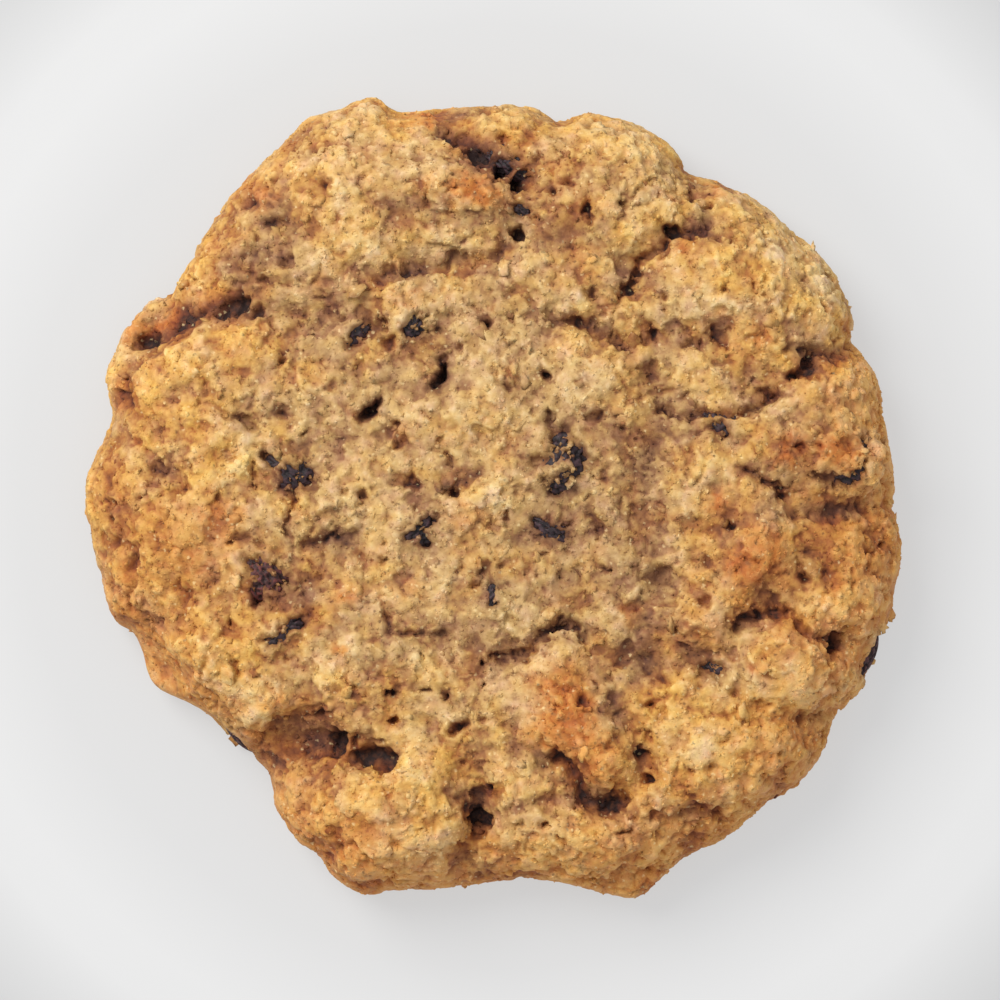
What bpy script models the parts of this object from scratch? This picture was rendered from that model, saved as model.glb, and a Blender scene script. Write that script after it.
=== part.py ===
"""An oatmeal raisin cookie: one piece of baked dough with raisins sunk in its top and side.

Lengths in this file are in millimetres and become metres as each mesh is made. +Z is up,
+Y is the far side, and the origin is the middle of the flat underside. The dough is one
closed solid: a flat base, a side wall that leans in, and a crust whose height is worked
out from the dough's swells, grooves and hollows. Each raisin is a solid of its own, in a
pocket that is cut a little larger than it is.
"""

import math
import random

import bmesh
import bpy
from mathutils import Euler, Matrix, Vector, kdtree, noise
from mathutils.geometry import delaunay_2d_cdt

MM = 0.001

# Driving sizes of the whole cookie.
CRUST_HEIGHT = 12.4  # level of the crust away from the edge, over the underside
WIDEST_HEIGHT = 2.8  # where the side wall stands out furthest
EDGE_REACH = 12.0  # how far in from the outline the crust rounds up to its level
EDGE_FULLNESS = 2.25  # 2 is an elliptical edge, more is squarer
BASE_INSET = 1.5  # the flat underside is smaller than the outline by this much
WALL_RINGS = 3  # rings of the wall between the widest line and the underside

# How finely the solid is faceted.
OUTLINE_STEP = 1.9
CRUST_STEP = 1.88
CRUST_JITTER = 0.16  # share of a step by which the crust's points are out of line
EDGE_RINGS = (0.55, 1.4, 2.6)  # extra rings of points, this far in from the outline

# The crown of each lobe and the foot of each notch round the edge, anticlockwise (x, y).
EDGE_POINTS = (
    (41.9, -0.5), (42.3, 1.2), (41.5, 6.0), (40.4, 13.0), (38.6, 15.2), (37.5, 17.0),
    (38.2, 18.4), (37.2, 21.5), (34.9, 24.8), (32.2, 27.4), (28.0, 31.0), (23.8, 33.4),
    (20.4, 34.2), (19.4, 36.4), (15.0, 39.2), (9.4, 40.5), (7.0, 39.3), (4.4, 41.0),
    (-2.0, 41.3), (-10.2, 40.4), (-11.7, 42.1), (-13.6, 42.2), (-15.4, 40.9), (-19.2, 40.0),
    (-23.0, 36.4), (-28.6, 30.4), (-32.0, 24.6), (-33.4, 22.2), (-33.4, 21.0), (-35.9, 21.1),
    (-38.8, 17.4), (-40.8, 12.2), (-39.8, 8.9), (-41.6, 4.8), (-42.9, 1.8), (-42.6, -3.0),
    (-41.0, -9.0), (-39.9, -13.3), (-37.6, -14.3), (-36.3, -18.8), (-35.6, -20.1),
    (-30.0, -22.8), (-27.8, -26.0), (-23.6, -28.9), (-23.0, -32.4), (-20.2, -36.6),
    (-17.8, -37.8), (-17.4, -39.4), (-13.2, -42.1), (-11.0, -41.4), (-6.0, -41.3),
    (4.8, -40.2), (10.0, -41.3), (15.8, -42.2), (19.0, -38.9), (25.4, -35.4), (28.6, -32.2),
    (31.8, -30.8), (35.5, -25.6), (35.5, -23.8), (39.9, -18.6), (42.0, -12.0), (43.0, -4.8),
)

# Swells of the dough: middle (x, y), half length, half width, turn in degrees, rise.
# A minus rise is a place where the dough lies low.
SWELLS = (
    (-14.0, 33.0, 15.0, 7.5, 8, 1.0),  # broad plate behind the left groove
    (-3.0, 32.0, 5.5, 2.6, -12, 1.1),  # its toasted brow, in front of the far hollow
    (12.5, 33.0, 7.0, 6.5, 20, 1.1),
    (27.0, 23.0, 11.0, 7.5, -38, 1.2),  # plate at the far right
    (34.5, 9.5, 6.0, 4.5, 75, 0.8),
    (28.3, 3.8, 3.0, 3.2, 0, 1.4),  # two toasted lumps by the right edge
    (36.6, 4.6, 3.0, 2.2, 30, 1.3),
    (27.0, -5.5, 3.0, 5.0, -25, 1.5),  # toasted ridge
    (37.0, -10.5, 3.6, 3.4, 20, 1.0),
    (31.0, -17.0, 6.5, 4.2, -15, 1.5),
    (23.5, -26.5, 8.5, 6.0, 15, 1.3),  # pale plate at the near right
    (19.0, -19.3, 2.4, 2.8, 0, 0.9),
    (10.0, -35.5, 5.0, 3.4, -10, 1.0),
    (8.8, -24.6, 4.2, 5.8, 38, 1.9),  # the high toasted clump
    (6.8, -16.5, 2.7, 3.2, -20, 1.2),
    (3.0, -33.5, 2.6, 4.5, 10, 0.7),
    (-12.5, -34.5, 9.0, 6.2, 5, 1.8),  # round lobe at the near left
    (-7.0, -28.0, 4.0, 2.6, 20, 1.0),
    (-28.5, -18.5, 6.0, 5.5, -35, 1.2),
    (-31.0, 9.5, 8.0, 6.5, 65, 1.1),  # plate at the left
    (-29.0, -2.5, 6.5, 4.0, -10, 0.9),
    (-16.5, -0.5, 4.5, 3.0, 20, 0.8),
    (-10.0, 21.5, 4.5, 1.7, 8, 0.9),
    (-3.5, 8.5, 6.5, 2.6, 12, 0.8),
    (2.0, 2.5, 6.5, 2.2, 32, 0.9),  # pale ridge that runs up to the middle raisin
    (-3.8, -2.5, 2.6, 2.2, 0, 0.8),
    (10.5, 13.5, 6.0, 3.0, 5, 0.7),
    (22.0, 1.0, 4.5, 4.5, 30, 0.8),
    (22.0, -12.5, 3.6, 3.0, -20, 0.9),
    (-12.0, -17.5, 4.5, 4.5, 0, 0.6),
    (-35.3, -18.3, 4.2, 2.7, -50, -5.6),  # the base shows here as a low shelf
    (-28.3, -25.4, 3.6, 1.6, -42, -4.2),
    (-36.0, 18.4, 3.6, 2.4, 40, -3.2),  # low corner by the left notch
    (39.8, -17.0, 3.2, 1.8, 62, -2.4),
    (14.5, -39.6, 4.0, 2.0, 12, -3.0),  # foot that runs out past the crust
    (10.0, -4.5, 7.0, 5.0, 70, -0.9),  # smooth sunken dough right of the middle
    (15.5, -17.0, 5.5, 2.6, -10, -1.3),
)

# Grooves between the swells: half width, depth, then the points (x, y) along each.
GROOVES = (
    (2.0, 1.3, ((-38.5, 14.5), (-36.2, 16.6), (-32.5, 19.2), (-28.0, 20.2), (-24.3, 19.4),
                (-18.5, 18.8), (-13.5, 19.6))),
    (1.1, 1.2, ((-13.0, 22.2), (-10.0, 24.3), (-4.5, 24.6), (0.6, 25.4), (2.5, 27.6),
                (2.9, 30.2), (2.8, 33.2))),
    (1.0, 1.5, ((20.6, 34.0), (21.4, 31.0), (21.8, 29.0), (20.2, 27.8), (18.2, 27.0),
                (15.4, 25.2), (14.0, 21.8))),
    (1.1, 1.2, ((6.0, 19.0), (8.0, 18.1), (11.0, 17.6), (15.5, 16.6), (19.0, 16.9), (24.0, 17.3))),
    (1.0, 1.2, ((18.0, 9.8), (22.0, 9.0), (26.3, 8.7), (29.0, 11.0), (33.2, 14.0), (37.5, 16.8))),
    (1.3, 1.3, ((31.0, -1.7), (35.0, -1.9), (38.3, -1.1), (42.0, -0.5))),
    (1.2, 1.3, ((25.0, -16.0), (26.3, -12.3), (30.0, -12.6), (33.0, -14.0), (36.2, -15.4))),
    (1.2, 1.3, ((25.3, -20.0), (27.4, -22.0), (31.0, -22.6), (35.4, -23.0))),
    (1.1, 1.1, ((1.0, -17.8), (4.5, -15.4), (6.4, -13.5), (8.8, -13.2), (10.0, -15.0))),
    (1.3, 1.7, ((6.5, -27.0), (8.8, -29.6), (11.2, -32.2), (14.0, -30.8), (16.2, -26.0))),
    (1.3, 1.6, ((-2.8, -28.8), (-0.9, -31.0), (-1.0, -34.2), (-3.0, -37.5), (-2.8, -39.8))),
    (1.6, 0.9, ((16.6, 14.0), (16.8, 8.0), (15.3, 2.0), (15.3, -4.0), (17.6, -8.6))),
    (0.9, 0.9, ((26.0, 5.0), (27.2, 2.4), (29.0, 1.1), (31.0, 0.2))),
    (1.0, 1.0, ((-36.0, 3.4), (-33.5, 1.6), (-32.4, -0.4))),
)

# Hollows: middle (x, y), half length, half width, turn in degrees, depth.
HOLLOWS = (
    (-27.6, 20.2, 1.9, 1.0, 8, 0.9),
    (-36.1, 16.5, 1.8, 1.2, 35, 1.0),
    (0.8, 35.3, 4.4, 2.0, -32, 2.2),  # the far hollow
    (-3.9, 38.0, 2.0, 1.0, -20, 1.0),
    (2.5, 27.7, 1.1, 1.1, 0, 1.2),
    (-19.4, -25.0, 4.2, 2.4, -8, 3.0),  # two deep pockets behind the near left lobe
    (-12.6, -27.0, 2.9, 1.4, 5, 2.4),
    (-1.1, -33.4, 1.5, 1.3, 10, 1.6),
    (36.1, -15.3, 1.1, 1.1, 0, 1.2),
    (23.6, 17.3, 1.5, 1.3, 0, 0.8),
    (-25.7, 7.8, 1.8, 0.8, -38, 0.8),
    (23.0, -17.6, 2.8, 1.5, -30, 1.0),
    (18.0, -8.8, 2.3, 1.4, 0, 0.9),
    (21.0, -33.5, 3.4, 0.9, 8, 1.0),
)

# Raisins: middle (x, y), length, width, thickness, turn in degrees, how far the top of
# the raisin stands over (+) or under (-) the dough round it, and how far it leans.
RAISINS = (
    (7.5, 3.6, 7.6, 6.2, 4.2, 62, 0.7, 0),
    (5.9, -3.4, 6.4, 3.6, 3.2, -36, 0.4, 0),
    (-7.7, -3.3, 6.0, 4.6, 3.4, 38, 0.5, 0),
    (-23.5, -8.1, 7.0, 5.6, 4.0, -48, 0.5, 0),
    (-21.8, -14.2, 6.6, 3.8, 3.4, 32, 0.5, 0),
    (-20.9, 2.6, 6.6, 4.8, 3.6, -14, 0.5, 0),
    (-14.4, 17.0, 6.6, 3.6, 3.2, 34, -0.1, 0),
    (-8.3, 17.9, 4.8, 4.0, 3.2, 10, 0.4, 0),
    (37.3, 3.4, 7.4, 5.2, 4.0, 14, 0.2, 12),
    (24.3, 7.0, 6.0, 3.6, 3.0, -36, -0.2, 0),
    (0.2, -10.5, 4.8, 3.0, 3.0, 78, 0.5, 0),
    (23.2, -17.8, 5.0, 3.2, 2.8, -32, 0.3, 0),
    (1.7, 34.6, 5.8, 3.2, 3.0, -34, 1.0, 0),
    (3.2, 29.6, 4.6, 3.2, 2.8, -40, 0.2, 0),
)

# Raisins that show in the side wall: bearing in degrees from +X, height, size as above.
WALL_RAISINS = (
    (-22.4, 4.2, 6.4, 3.4, 3.6),
    (-136.5, 3.9, 5.8, 2.8, 3.4),
)
WALL_RAISIN_INSET = 0.36  # how far in its middle is, as a share of its width

RAISIN_FURROWS = 4  # lengthwise wrinkles of a raisin
FURROW_DEPTH = 0.10  # share of the raisin's half width
RAISIN_GAP = 0.34  # clear space between a raisin and its pocket
RAISIN_SEGMENTS = 12
RAISIN_STACKS = 6

# Surface roughness that the facets can hold: wave length and height of each layer.
ROUGHNESS = ((9.0, 0.55), (4.2, 0.42))


def smooth_closed_curve(corners, step):
    """Points about one step apart on a closed curve through the corners (Catmull-Rom)."""
    count = len(corners)
    points = []
    for i in range(count):
        before, start, end, after = (Vector(corners[(i + k) % count]) for k in (-1, 0, 1, 2))
        pieces = max(1, round((end - start).length / step))
        for k in range(pieces):
            t = k / pieces
            points.append(
                0.5 * (2 * start + (end - before) * t
                       + (2 * before - 5 * start + 4 * end - after) * t * t
                       + (3 * start - before - 3 * end + after) * t * t * t)
            )
    return points


def inward_normals(outline):
    """The unit vector pointing into the shape at each point of an anticlockwise outline."""
    normals = []
    for i, point in enumerate(outline):
        along = (outline[(i + 1) % len(outline)] - outline[i - 1]).normalized()
        normals.append(Vector((-along.y, along.x)))
    return normals


class Outline:
    """The cookie's edge seen from above, and how far any point is from it."""

    def __init__(self):
        self.points = smooth_closed_curve(EDGE_POINTS, OUTLINE_STEP)
        self.normals = inward_normals(self.points)
        fine = smooth_closed_curve(EDGE_POINTS, 0.2)
        self.tree = kdtree.KDTree(len(fine))
        for i, point in enumerate(fine):
            self.tree.insert(point.to_3d(), i)
        self.tree.balance()
        self.fine = fine

    def distance(self, x, y):
        return self.tree.find((x, y, 0.0))[2]

    def holds(self, x, y):
        """True inside the edge, by counting the sides that a ray towards +X crosses."""
        inside = False
        for i, a in enumerate(self.points):
            b = self.points[i - 1]
            if (a.y > y) != (b.y > y) and x < (b.x - a.x) * (y - a.y) / (b.y - a.y) + a.x:
                inside = not inside
        return inside

    def at_bearing(self, degrees):
        """The edge point nearest to a bearing from the origin, and its inward normal."""
        way = Vector((math.cos(math.radians(degrees)), math.sin(math.radians(degrees))))
        i = max(range(len(self.points)), key=lambda k: self.points[k].normalized().dot(way))
        return self.points[i], self.normals[i]


def patch(x, y, middle_x, middle_y, half_length, half_width, turn):
    """1 in the middle of a turned oval, falling steeply to 0 past its edge."""
    c, s = math.cos(math.radians(turn)), math.sin(math.radians(turn))
    dx, dy = x - middle_x, y - middle_y
    along, across = (dx * c + dy * s) / half_length, (dy * c - dx * s) / half_width
    return math.exp(-((along * along + across * across) ** 2))


def distance_to_path(x, y, path):
    """How far (x, y) is from a line through the path's points."""
    here = Vector((x, y))
    nearest = math.inf
    for a, b in zip(path, path[1:]):
        a, b = Vector(a), Vector(b)
        side = b - a
        t = min(1.0, max(0.0, (here - a).dot(side) / side.length_squared))
        nearest = min(nearest, (here - (a + side * t)).length)
    return nearest


def edge_profile(inset):
    """Height of the crust before swells and grooves, this far in from the outline."""
    share = 1.0 - min(1.0, inset / EDGE_REACH)
    rise = (1.0 - share**EDGE_FULLNESS) ** (1.0 / EDGE_FULLNESS)
    return WIDEST_HEIGHT + (CRUST_HEIGHT - WIDEST_HEIGHT) * rise


def crust_height(x, y, inset):
    """Height of the crust over the underside at (x, y)."""
    height = edge_profile(inset)
    change = sum(rise * patch(x, y, *oval) for *oval, rise in SWELLS)
    change -= sum(depth * patch(x, y, *oval) for *oval, depth in HOLLOWS)
    for half_width, depth, path in GROOVES:
        change -= depth * math.exp(-((distance_to_path(x, y, path) / half_width) ** 2))
    for wave, rise in ROUGHNESS:
        change += rise * noise.noise(Vector((x / wave, y / wave, wave)))
    # At the very edge the wall takes over, so the crust's own relief fades out there.
    fade = min(1.0, inset / 2.0)
    return max(height + change * fade, WIDEST_HEIGHT + 0.6 * fade)


def crust_points(outline):
    """Points over the crust: the edge itself, rings just inside it, and a jittered lattice."""
    points = list(outline.points)
    for inset in EDGE_RINGS:
        for edge, inward in zip(outline.points, outline.normals):
            point = edge + inward * inset
            if outline.distance(point.x, point.y) > 0.93 * inset:
                points.append(point)
    shake = random.Random(7)
    row_height = CRUST_STEP * math.sqrt(3) / 2
    reach = max(point.length for point in outline.points)
    rows = math.ceil(reach / row_height)
    clear_of_rings = EDGE_RINGS[-1] + 0.6 * CRUST_STEP
    for row in range(-rows, rows + 1):
        for column in range(-rows, rows + 1):
            x = (column + 0.5 * (row % 2) + shake.uniform(-CRUST_JITTER, CRUST_JITTER)) * CRUST_STEP
            y = row * row_height + shake.uniform(-CRUST_JITTER, CRUST_JITTER) * CRUST_STEP
            if outline.distance(x, y) > clear_of_rings and outline.holds(x, y):
                points.append(Vector((x, y)))
    return points


def material(name, colour, roughness):
    made = bpy.data.materials.new(name)
    made.use_nodes = True
    shader = made.node_tree.nodes["Principled BSDF"]
    shader.inputs["Base Color"].default_value = (*colour, 1.0)
    shader.inputs["Roughness"].default_value = roughness
    return made


def add_object(name, bm, finish, collection=None):
    """Makes an object of a bmesh that is in millimetres."""
    bmesh.ops.scale(bm, vec=(MM, MM, MM), verts=bm.verts)
    bmesh.ops.recalc_face_normals(bm, faces=bm.faces)
    mesh = bpy.data.meshes.new(name)
    bm.to_mesh(mesh)
    bm.free()
    mesh.shade_smooth()
    made = bpy.data.objects.new(name, mesh)
    if finish:
        mesh.materials.append(finish)
    (collection or bpy.context.scene.collection).objects.link(made)
    return made


def dough_mesh(outline):
    """The dough before its raisin pockets are cut: crust, wall and flat underside."""
    edge_count = len(outline.points)
    placed, _, faces, *_ = delaunay_2d_cdt(
        crust_points(outline), [], [list(range(edge_count))], 1, 1e-6
    )
    bm = bmesh.new()
    for x, y in placed:
        inset = outline.distance(x, y)
        bm.verts.new((x, y, crust_height(x, y, inset)))
    bm.verts.ensure_lookup_table()
    for corners in faces:
        bm.faces.new([bm.verts[i] for i in corners])
    # The first points are the outline's, at the widest line; the wall goes down from them.
    ring = [bm.verts[i] for i in range(edge_count)]
    for vert in ring:
        vert.co.z = WIDEST_HEIGHT
    for step in range(1, WALL_RINGS + 1):
        turn = step / WALL_RINGS * math.pi / 2
        inset = BASE_INSET * (1 - math.cos(turn))
        height = WIDEST_HEIGHT * (1 - math.sin(turn))
        lower = [
            bm.verts.new((*(edge + inward * inset), height))
            for edge, inward in zip(outline.points, outline.normals)
        ]
        for i in range(edge_count):
            bm.faces.new((ring[i - 1], lower[i - 1], lower[i], ring[i]))
        ring = lower
    bm.faces.new(ring)
    bmesh.ops.triangulate(bm, faces=bm.faces)
    return bm


def raisin_mesh(length, width, thickness, placing, gap=0.0):
    """A raisin lying along X, furrowed lengthwise, then placed. A gap makes it larger."""
    bm = bmesh.new()
    bmesh.ops.create_uvsphere(bm, u_segments=RAISIN_SEGMENTS, v_segments=RAISIN_STACKS, radius=1.0)
    for vert in bm.verts:
        # The sphere's poles are turned to lie along the raisin's length.
        along, across, up = vert.co.z, vert.co.x, vert.co.y
        round_axis = math.atan2(up, across)
        furrow = math.sin(round_axis * RAISIN_FURROWS + 2.2 * along) * (1 - along * along)
        narrow = 1.0 - 0.12 * along - (0.0 if gap else FURROW_DEPTH * max(0.0, furrow))
        vert.co = (
            along * (length / 2 + gap),
            across * narrow * (width / 2 + gap),
            up * narrow * (thickness / 2 + gap),
        )
    bmesh.ops.transform(bm, matrix=placing, verts=bm.verts)
    return bm


def raisin_placings(outline):
    """(length, width, thickness, matrix) of every raisin, in millimetres."""
    for x, y, length, width, thickness, turn, proud, lean in RAISINS:
        top = crust_height(x, y, outline.distance(x, y)) + proud
        turned = Euler((math.radians(lean), 0, math.radians(turn))).to_matrix().to_4x4()
        yield length, width, thickness, Matrix.Translation((x, y, top - thickness / 2)) @ turned
    for bearing, height, length, width, thickness in WALL_RAISINS:
        edge, inward = outline.at_bearing(bearing)
        middle = edge + inward * width * WALL_RAISIN_INSET
        turn = math.atan2(inward.y, inward.x) + math.pi / 2
        turned = Matrix.Rotation(turn, 4, "Z")
        yield length, width, thickness, Matrix.Translation((*middle, height)) @ turned


def main():
    for old in list(bpy.data.objects):
        bpy.data.objects.remove(old)
    outline = Outline()
    baked_dough = material("baked_oat_dough", (0.50, 0.27, 0.10), 0.85)
    raisin_skin = material("raisin_skin", (0.035, 0.018, 0.024), 0.45)
    dough = add_object("cookie_dough", dough_mesh(outline), baked_dough)
    pockets = bpy.data.collections.new("raisin_pockets")
    pockets.hide_render = True
    bpy.context.scene.collection.children.link(pockets)
    for number, (length, width, thickness, placing) in enumerate(raisin_placings(outline), 1):
        raisin = raisin_mesh(length, width, thickness, placing)
        add_object(f"raisin_{number:02d}", raisin, raisin_skin)
        pocket = raisin_mesh(length, width, thickness, placing, RAISIN_GAP)
        cutter = add_object(f"pocket_{number:02d}", pocket, None, pockets)
        cutter.hide_render = True
        cutter.display_type = "WIRE"
    cut = dough.modifiers.new("raisin_pockets", "BOOLEAN")
    cut.operand_type = "COLLECTION"
    cut.collection = pockets
    cut.operation = "DIFFERENCE"
    cut.solver = "EXACT"


main()
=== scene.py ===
"""Looks of the oatmeal raisin cookie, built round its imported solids. Metres, +Z up."""

import math

import bpy
import numpy as np
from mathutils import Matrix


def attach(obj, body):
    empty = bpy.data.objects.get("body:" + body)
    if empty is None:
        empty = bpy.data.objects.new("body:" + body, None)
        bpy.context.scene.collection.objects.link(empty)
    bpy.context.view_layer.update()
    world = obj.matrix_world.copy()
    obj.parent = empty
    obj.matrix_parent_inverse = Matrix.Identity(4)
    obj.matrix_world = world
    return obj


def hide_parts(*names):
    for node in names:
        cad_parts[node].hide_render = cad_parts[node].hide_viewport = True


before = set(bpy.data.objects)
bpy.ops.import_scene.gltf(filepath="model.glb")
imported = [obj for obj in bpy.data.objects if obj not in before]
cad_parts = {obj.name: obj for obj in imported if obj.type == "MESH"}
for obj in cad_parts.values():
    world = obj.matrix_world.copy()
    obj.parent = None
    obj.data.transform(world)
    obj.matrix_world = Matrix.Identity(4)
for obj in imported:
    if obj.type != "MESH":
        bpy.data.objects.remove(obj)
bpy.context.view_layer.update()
MM = 0.001


# The dough. One lump of oat, flour, sugar and butter dough that spread and cracked as it
# baked. It starts as a copy of the solid with its raisin pockets filled, is remeshed fine,
# and its crumb, cracks and holes are then worked into the skin point by point.
def keep_only_selected(obj):
    bpy.ops.object.select_all(action="DESELECT")
    obj.select_set(True)
    bpy.context.view_layer.objects.active = obj


def apply_modifier(obj, kind, **settings):
    """Adds a modifier with these settings and applies it."""
    modifier = obj.modifiers.new(kind.lower(), kind)
    for key, value in settings.items():
        setattr(modifier, key, value)
    keep_only_selected(obj)
    bpy.ops.object.modifier_apply(modifier=modifier.name)


def edit_all(obj, operator, **settings):
    """Runs one operator on the whole mesh in edit mode."""
    keep_only_selected(obj)
    bpy.ops.object.mode_set(mode="EDIT")
    bpy.ops.mesh.select_all(action="SELECT")
    operator(**settings)
    bpy.ops.object.mode_set(mode="OBJECT")


def merged_copy(node, name):
    """A copy of a CAD node as a new piece, with its loose triangles joined up."""
    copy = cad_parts[node].copy()
    copy.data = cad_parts[node].data.copy()
    copy.name = copy.data.name = name
    for key in list(copy.keys()):
        del copy[key]
    copy.parent = None
    copy.matrix_world.identity()
    copy.data.materials.clear()
    bpy.context.scene.collection.objects.link(copy)
    edit_all(copy, bpy.ops.mesh.remove_doubles, threshold=1e-6)
    return copy


def points_of(obj):
    """The piece's vertices in millimetres."""
    flat = np.empty(len(obj.data.vertices) * 3, np.float32)
    obj.data.vertices.foreach_get("co", flat)
    return flat.reshape(-1, 3).astype(float) / MM


def normals_of(obj):
    flat = np.empty(len(obj.data.vertices) * 3, np.float32)
    obj.data.vertex_normals.foreach_get("vector", flat)
    return flat.reshape(-1, 3).astype(float)


def move_points(obj, points):
    obj.data.vertices.foreach_set("co", (points * MM).astype(np.float32).ravel())
    obj.data.update()


def set_attribute(obj, name, values):
    found = obj.data.attributes.get(name) or obj.data.attributes.new(name, "FLOAT", "POINT")
    found.data.foreach_set("value", np.asarray(values, np.float32))


def get_attribute(obj, name):
    values = np.empty(len(obj.data.vertices), np.float32)
    obj.data.attributes[name].data.foreach_get("value", values)
    return values.astype(float)


def spread_out(obj, values, rounds):
    """Values at the vertices, each averaged with its neighbours' this many times."""
    edges = np.empty(len(obj.data.edges) * 2, np.int32)
    obj.data.edges.foreach_get("vertices", edges)
    a, b = edges.reshape(-1, 2).T
    count = np.bincount(a, minlength=len(values)) + np.bincount(b, minlength=len(values))
    for _ in range(rounds):
        total = np.empty_like(values)
        for axis in range(values.shape[1]):
            column = values[:, axis]
            total[:, axis] = (np.bincount(a, column[b], len(column))
                              + np.bincount(b, column[a], len(column)))
        values = 0.5 * values + 0.5 * total / count[:, None]
    return values


VOXEL = 0.52  # mm between points of the dough's first skin; the crust is then split in half
WALL_FOOT = 1.0  # mm over the underside, below which the skin stays coarse
FILLING = 0.5  # mm that each filling reaches past its raisin, to join the pocket's wall
ROUNDING, FORM_ROUNDING = 6, 60  # rounds of averaging: to lose the facets, and all the lumps
WALL_RAISIN = 15  # the first of the two raisins in the side wall; their pockets stay open

dough = merged_copy("cookie_dough", "dough")

# Fills the pockets in the crust: the wrinkled raisins bring their own shape.
for number in range(1, WALL_RAISIN):
    plug = merged_copy(f"raisin_{number:02d}", "plug")
    edit_all(plug, bpy.ops.transform.shrink_fatten, value=FILLING * MM)
    keep_only_selected(dough)
    plug.select_set(True)
    bpy.ops.object.join()
apply_modifier(dough, "REMESH", mode="VOXEL", voxel_size=VOXEL * MM)

# Rounds off the facets, but keeps the underside flat.
before = points_of(dough)
rounded = spread_out(dough, before, ROUNDING)
rounded[:, 2] = np.where(before[:, 2] < WALL_FOOT, before[:, 2], rounded[:, 2])
move_points(dough, rounded)
smooth_form = spread_out(dough, rounded, FORM_ROUNDING)
swell = ((rounded - smooth_form) * normals_of(dough)).sum(1)
set_attribute(dough, "swell", swell)

# The flat underside needs few points; the crust and wall get twice as many each way.
keep_only_selected(dough)
bpy.ops.object.mode_set(mode="EDIT")
bpy.ops.mesh.select_all(action="DESELECT")
bpy.ops.object.mode_set(mode="OBJECT")
centre_heights = np.empty(len(dough.data.polygons) * 3, np.float32)
dough.data.polygons.foreach_get("center", centre_heights)
is_crust = centre_heights.reshape(-1, 3)[:, 2] > WALL_FOOT * MM
dough.data.polygons.foreach_set("select", is_crust)
bpy.ops.object.mode_set(mode="EDIT")
bpy.ops.mesh.subdivide(number_cuts=1)
bpy.ops.object.mode_set(mode="OBJECT")

# Noise, worked out for all points at once.
GRADIENTS = np.random.default_rng(5).normal(size=(256, 3))
GRADIENTS /= np.linalg.norm(GRADIENTS, axis=1)[:, None]


def lattice_hash(cell, seed):
    """A whole number for each lattice cell, well mixed and the same each run."""
    x, y, z = (cell[:, k].astype(np.int64) for k in range(3))
    mixed = (x * 374761393 + y * 668265263 + z * 2147483629 + seed * 1274126177) & 0xFFFFFFFF
    mixed = ((mixed ^ (mixed >> 13)) * 1274126177) & 0xFFFFFFFF
    return mixed ^ (mixed >> 16)


def noise(points, size, seed):
    """Smooth noise between about -1 and 1, with lumps of this size in millimetres."""
    p = points / size
    cell = np.floor(p)
    f = p - cell
    fade = f * f * f * (f * (f * 6 - 15) + 10)
    total = np.zeros(len(p))
    for corner in np.ndindex(2, 2, 2):
        gradient = GRADIENTS[lattice_hash(cell + corner, seed) & 255]
        weight = np.prod(np.where(corner, fade, 1 - fade), axis=1)
        total += weight * ((f - corner) * gradient).sum(1)
    return total * 1.6


def fractal(points, size, seed, layers=4, gain=0.5):
    return sum(gain**k * noise(points, size / 2**k, seed + k) for k in range(layers))


def crumbs(points, size, seed):
    """Rounded cells of this size: how high on its cell each point is, and the cell's number."""
    p = points / size
    cell = np.floor(p)
    nearest = np.full(len(p), 9.0)
    second = np.full(len(p), 9.0)
    owner = np.zeros(len(p))
    for step in np.ndindex(3, 3, 3):
        other = cell + np.array(step) - 1
        h = lattice_hash(other, seed)
        middle = other + 0.5 + 0.42 * GRADIENTS[h & 255]
        distance = np.linalg.norm(p - middle, axis=1)
        closer = distance < nearest
        second = np.where(closer, nearest, np.minimum(second, distance))
        owner = np.where(closer, (h >> 8 & 1023) / 1023, owner)
        nearest = np.where(closer, distance, nearest)
    return 1 - nearest, second - nearest, owner


def ramp(values, low, high):
    t = np.clip((values - low) / (high - low), 0, 1)
    return t * t * (3 - 2 * t)


def path_distance(points, path):
    """How far each point is from a line through the path, seen from above."""
    here = points[:, :2]
    nearest = np.full(len(points), 1e9)
    for a, b in zip(path, path[1:]):
        a, side = np.array(a, float), np.subtract(b, a).astype(float)
        t = np.clip(((here - a) @ side) / (side @ side), 0, 1)
        nearest = np.minimum(nearest, np.linalg.norm(here - a - t[:, None] * side, axis=1))
    return nearest


def oval_distance(points, x, y, half_length, half_width, turn):
    """0 in the middle of a turned oval and 1 at its edge, seen from above."""
    c, s = math.cos(math.radians(turn)), math.sin(math.radians(turn))
    dx, dy = points[:, 0] - x, points[:, 1] - y
    return np.hypot((dx * c + dy * s) / half_length, (dy * c - dx * s) / half_width)


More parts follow.
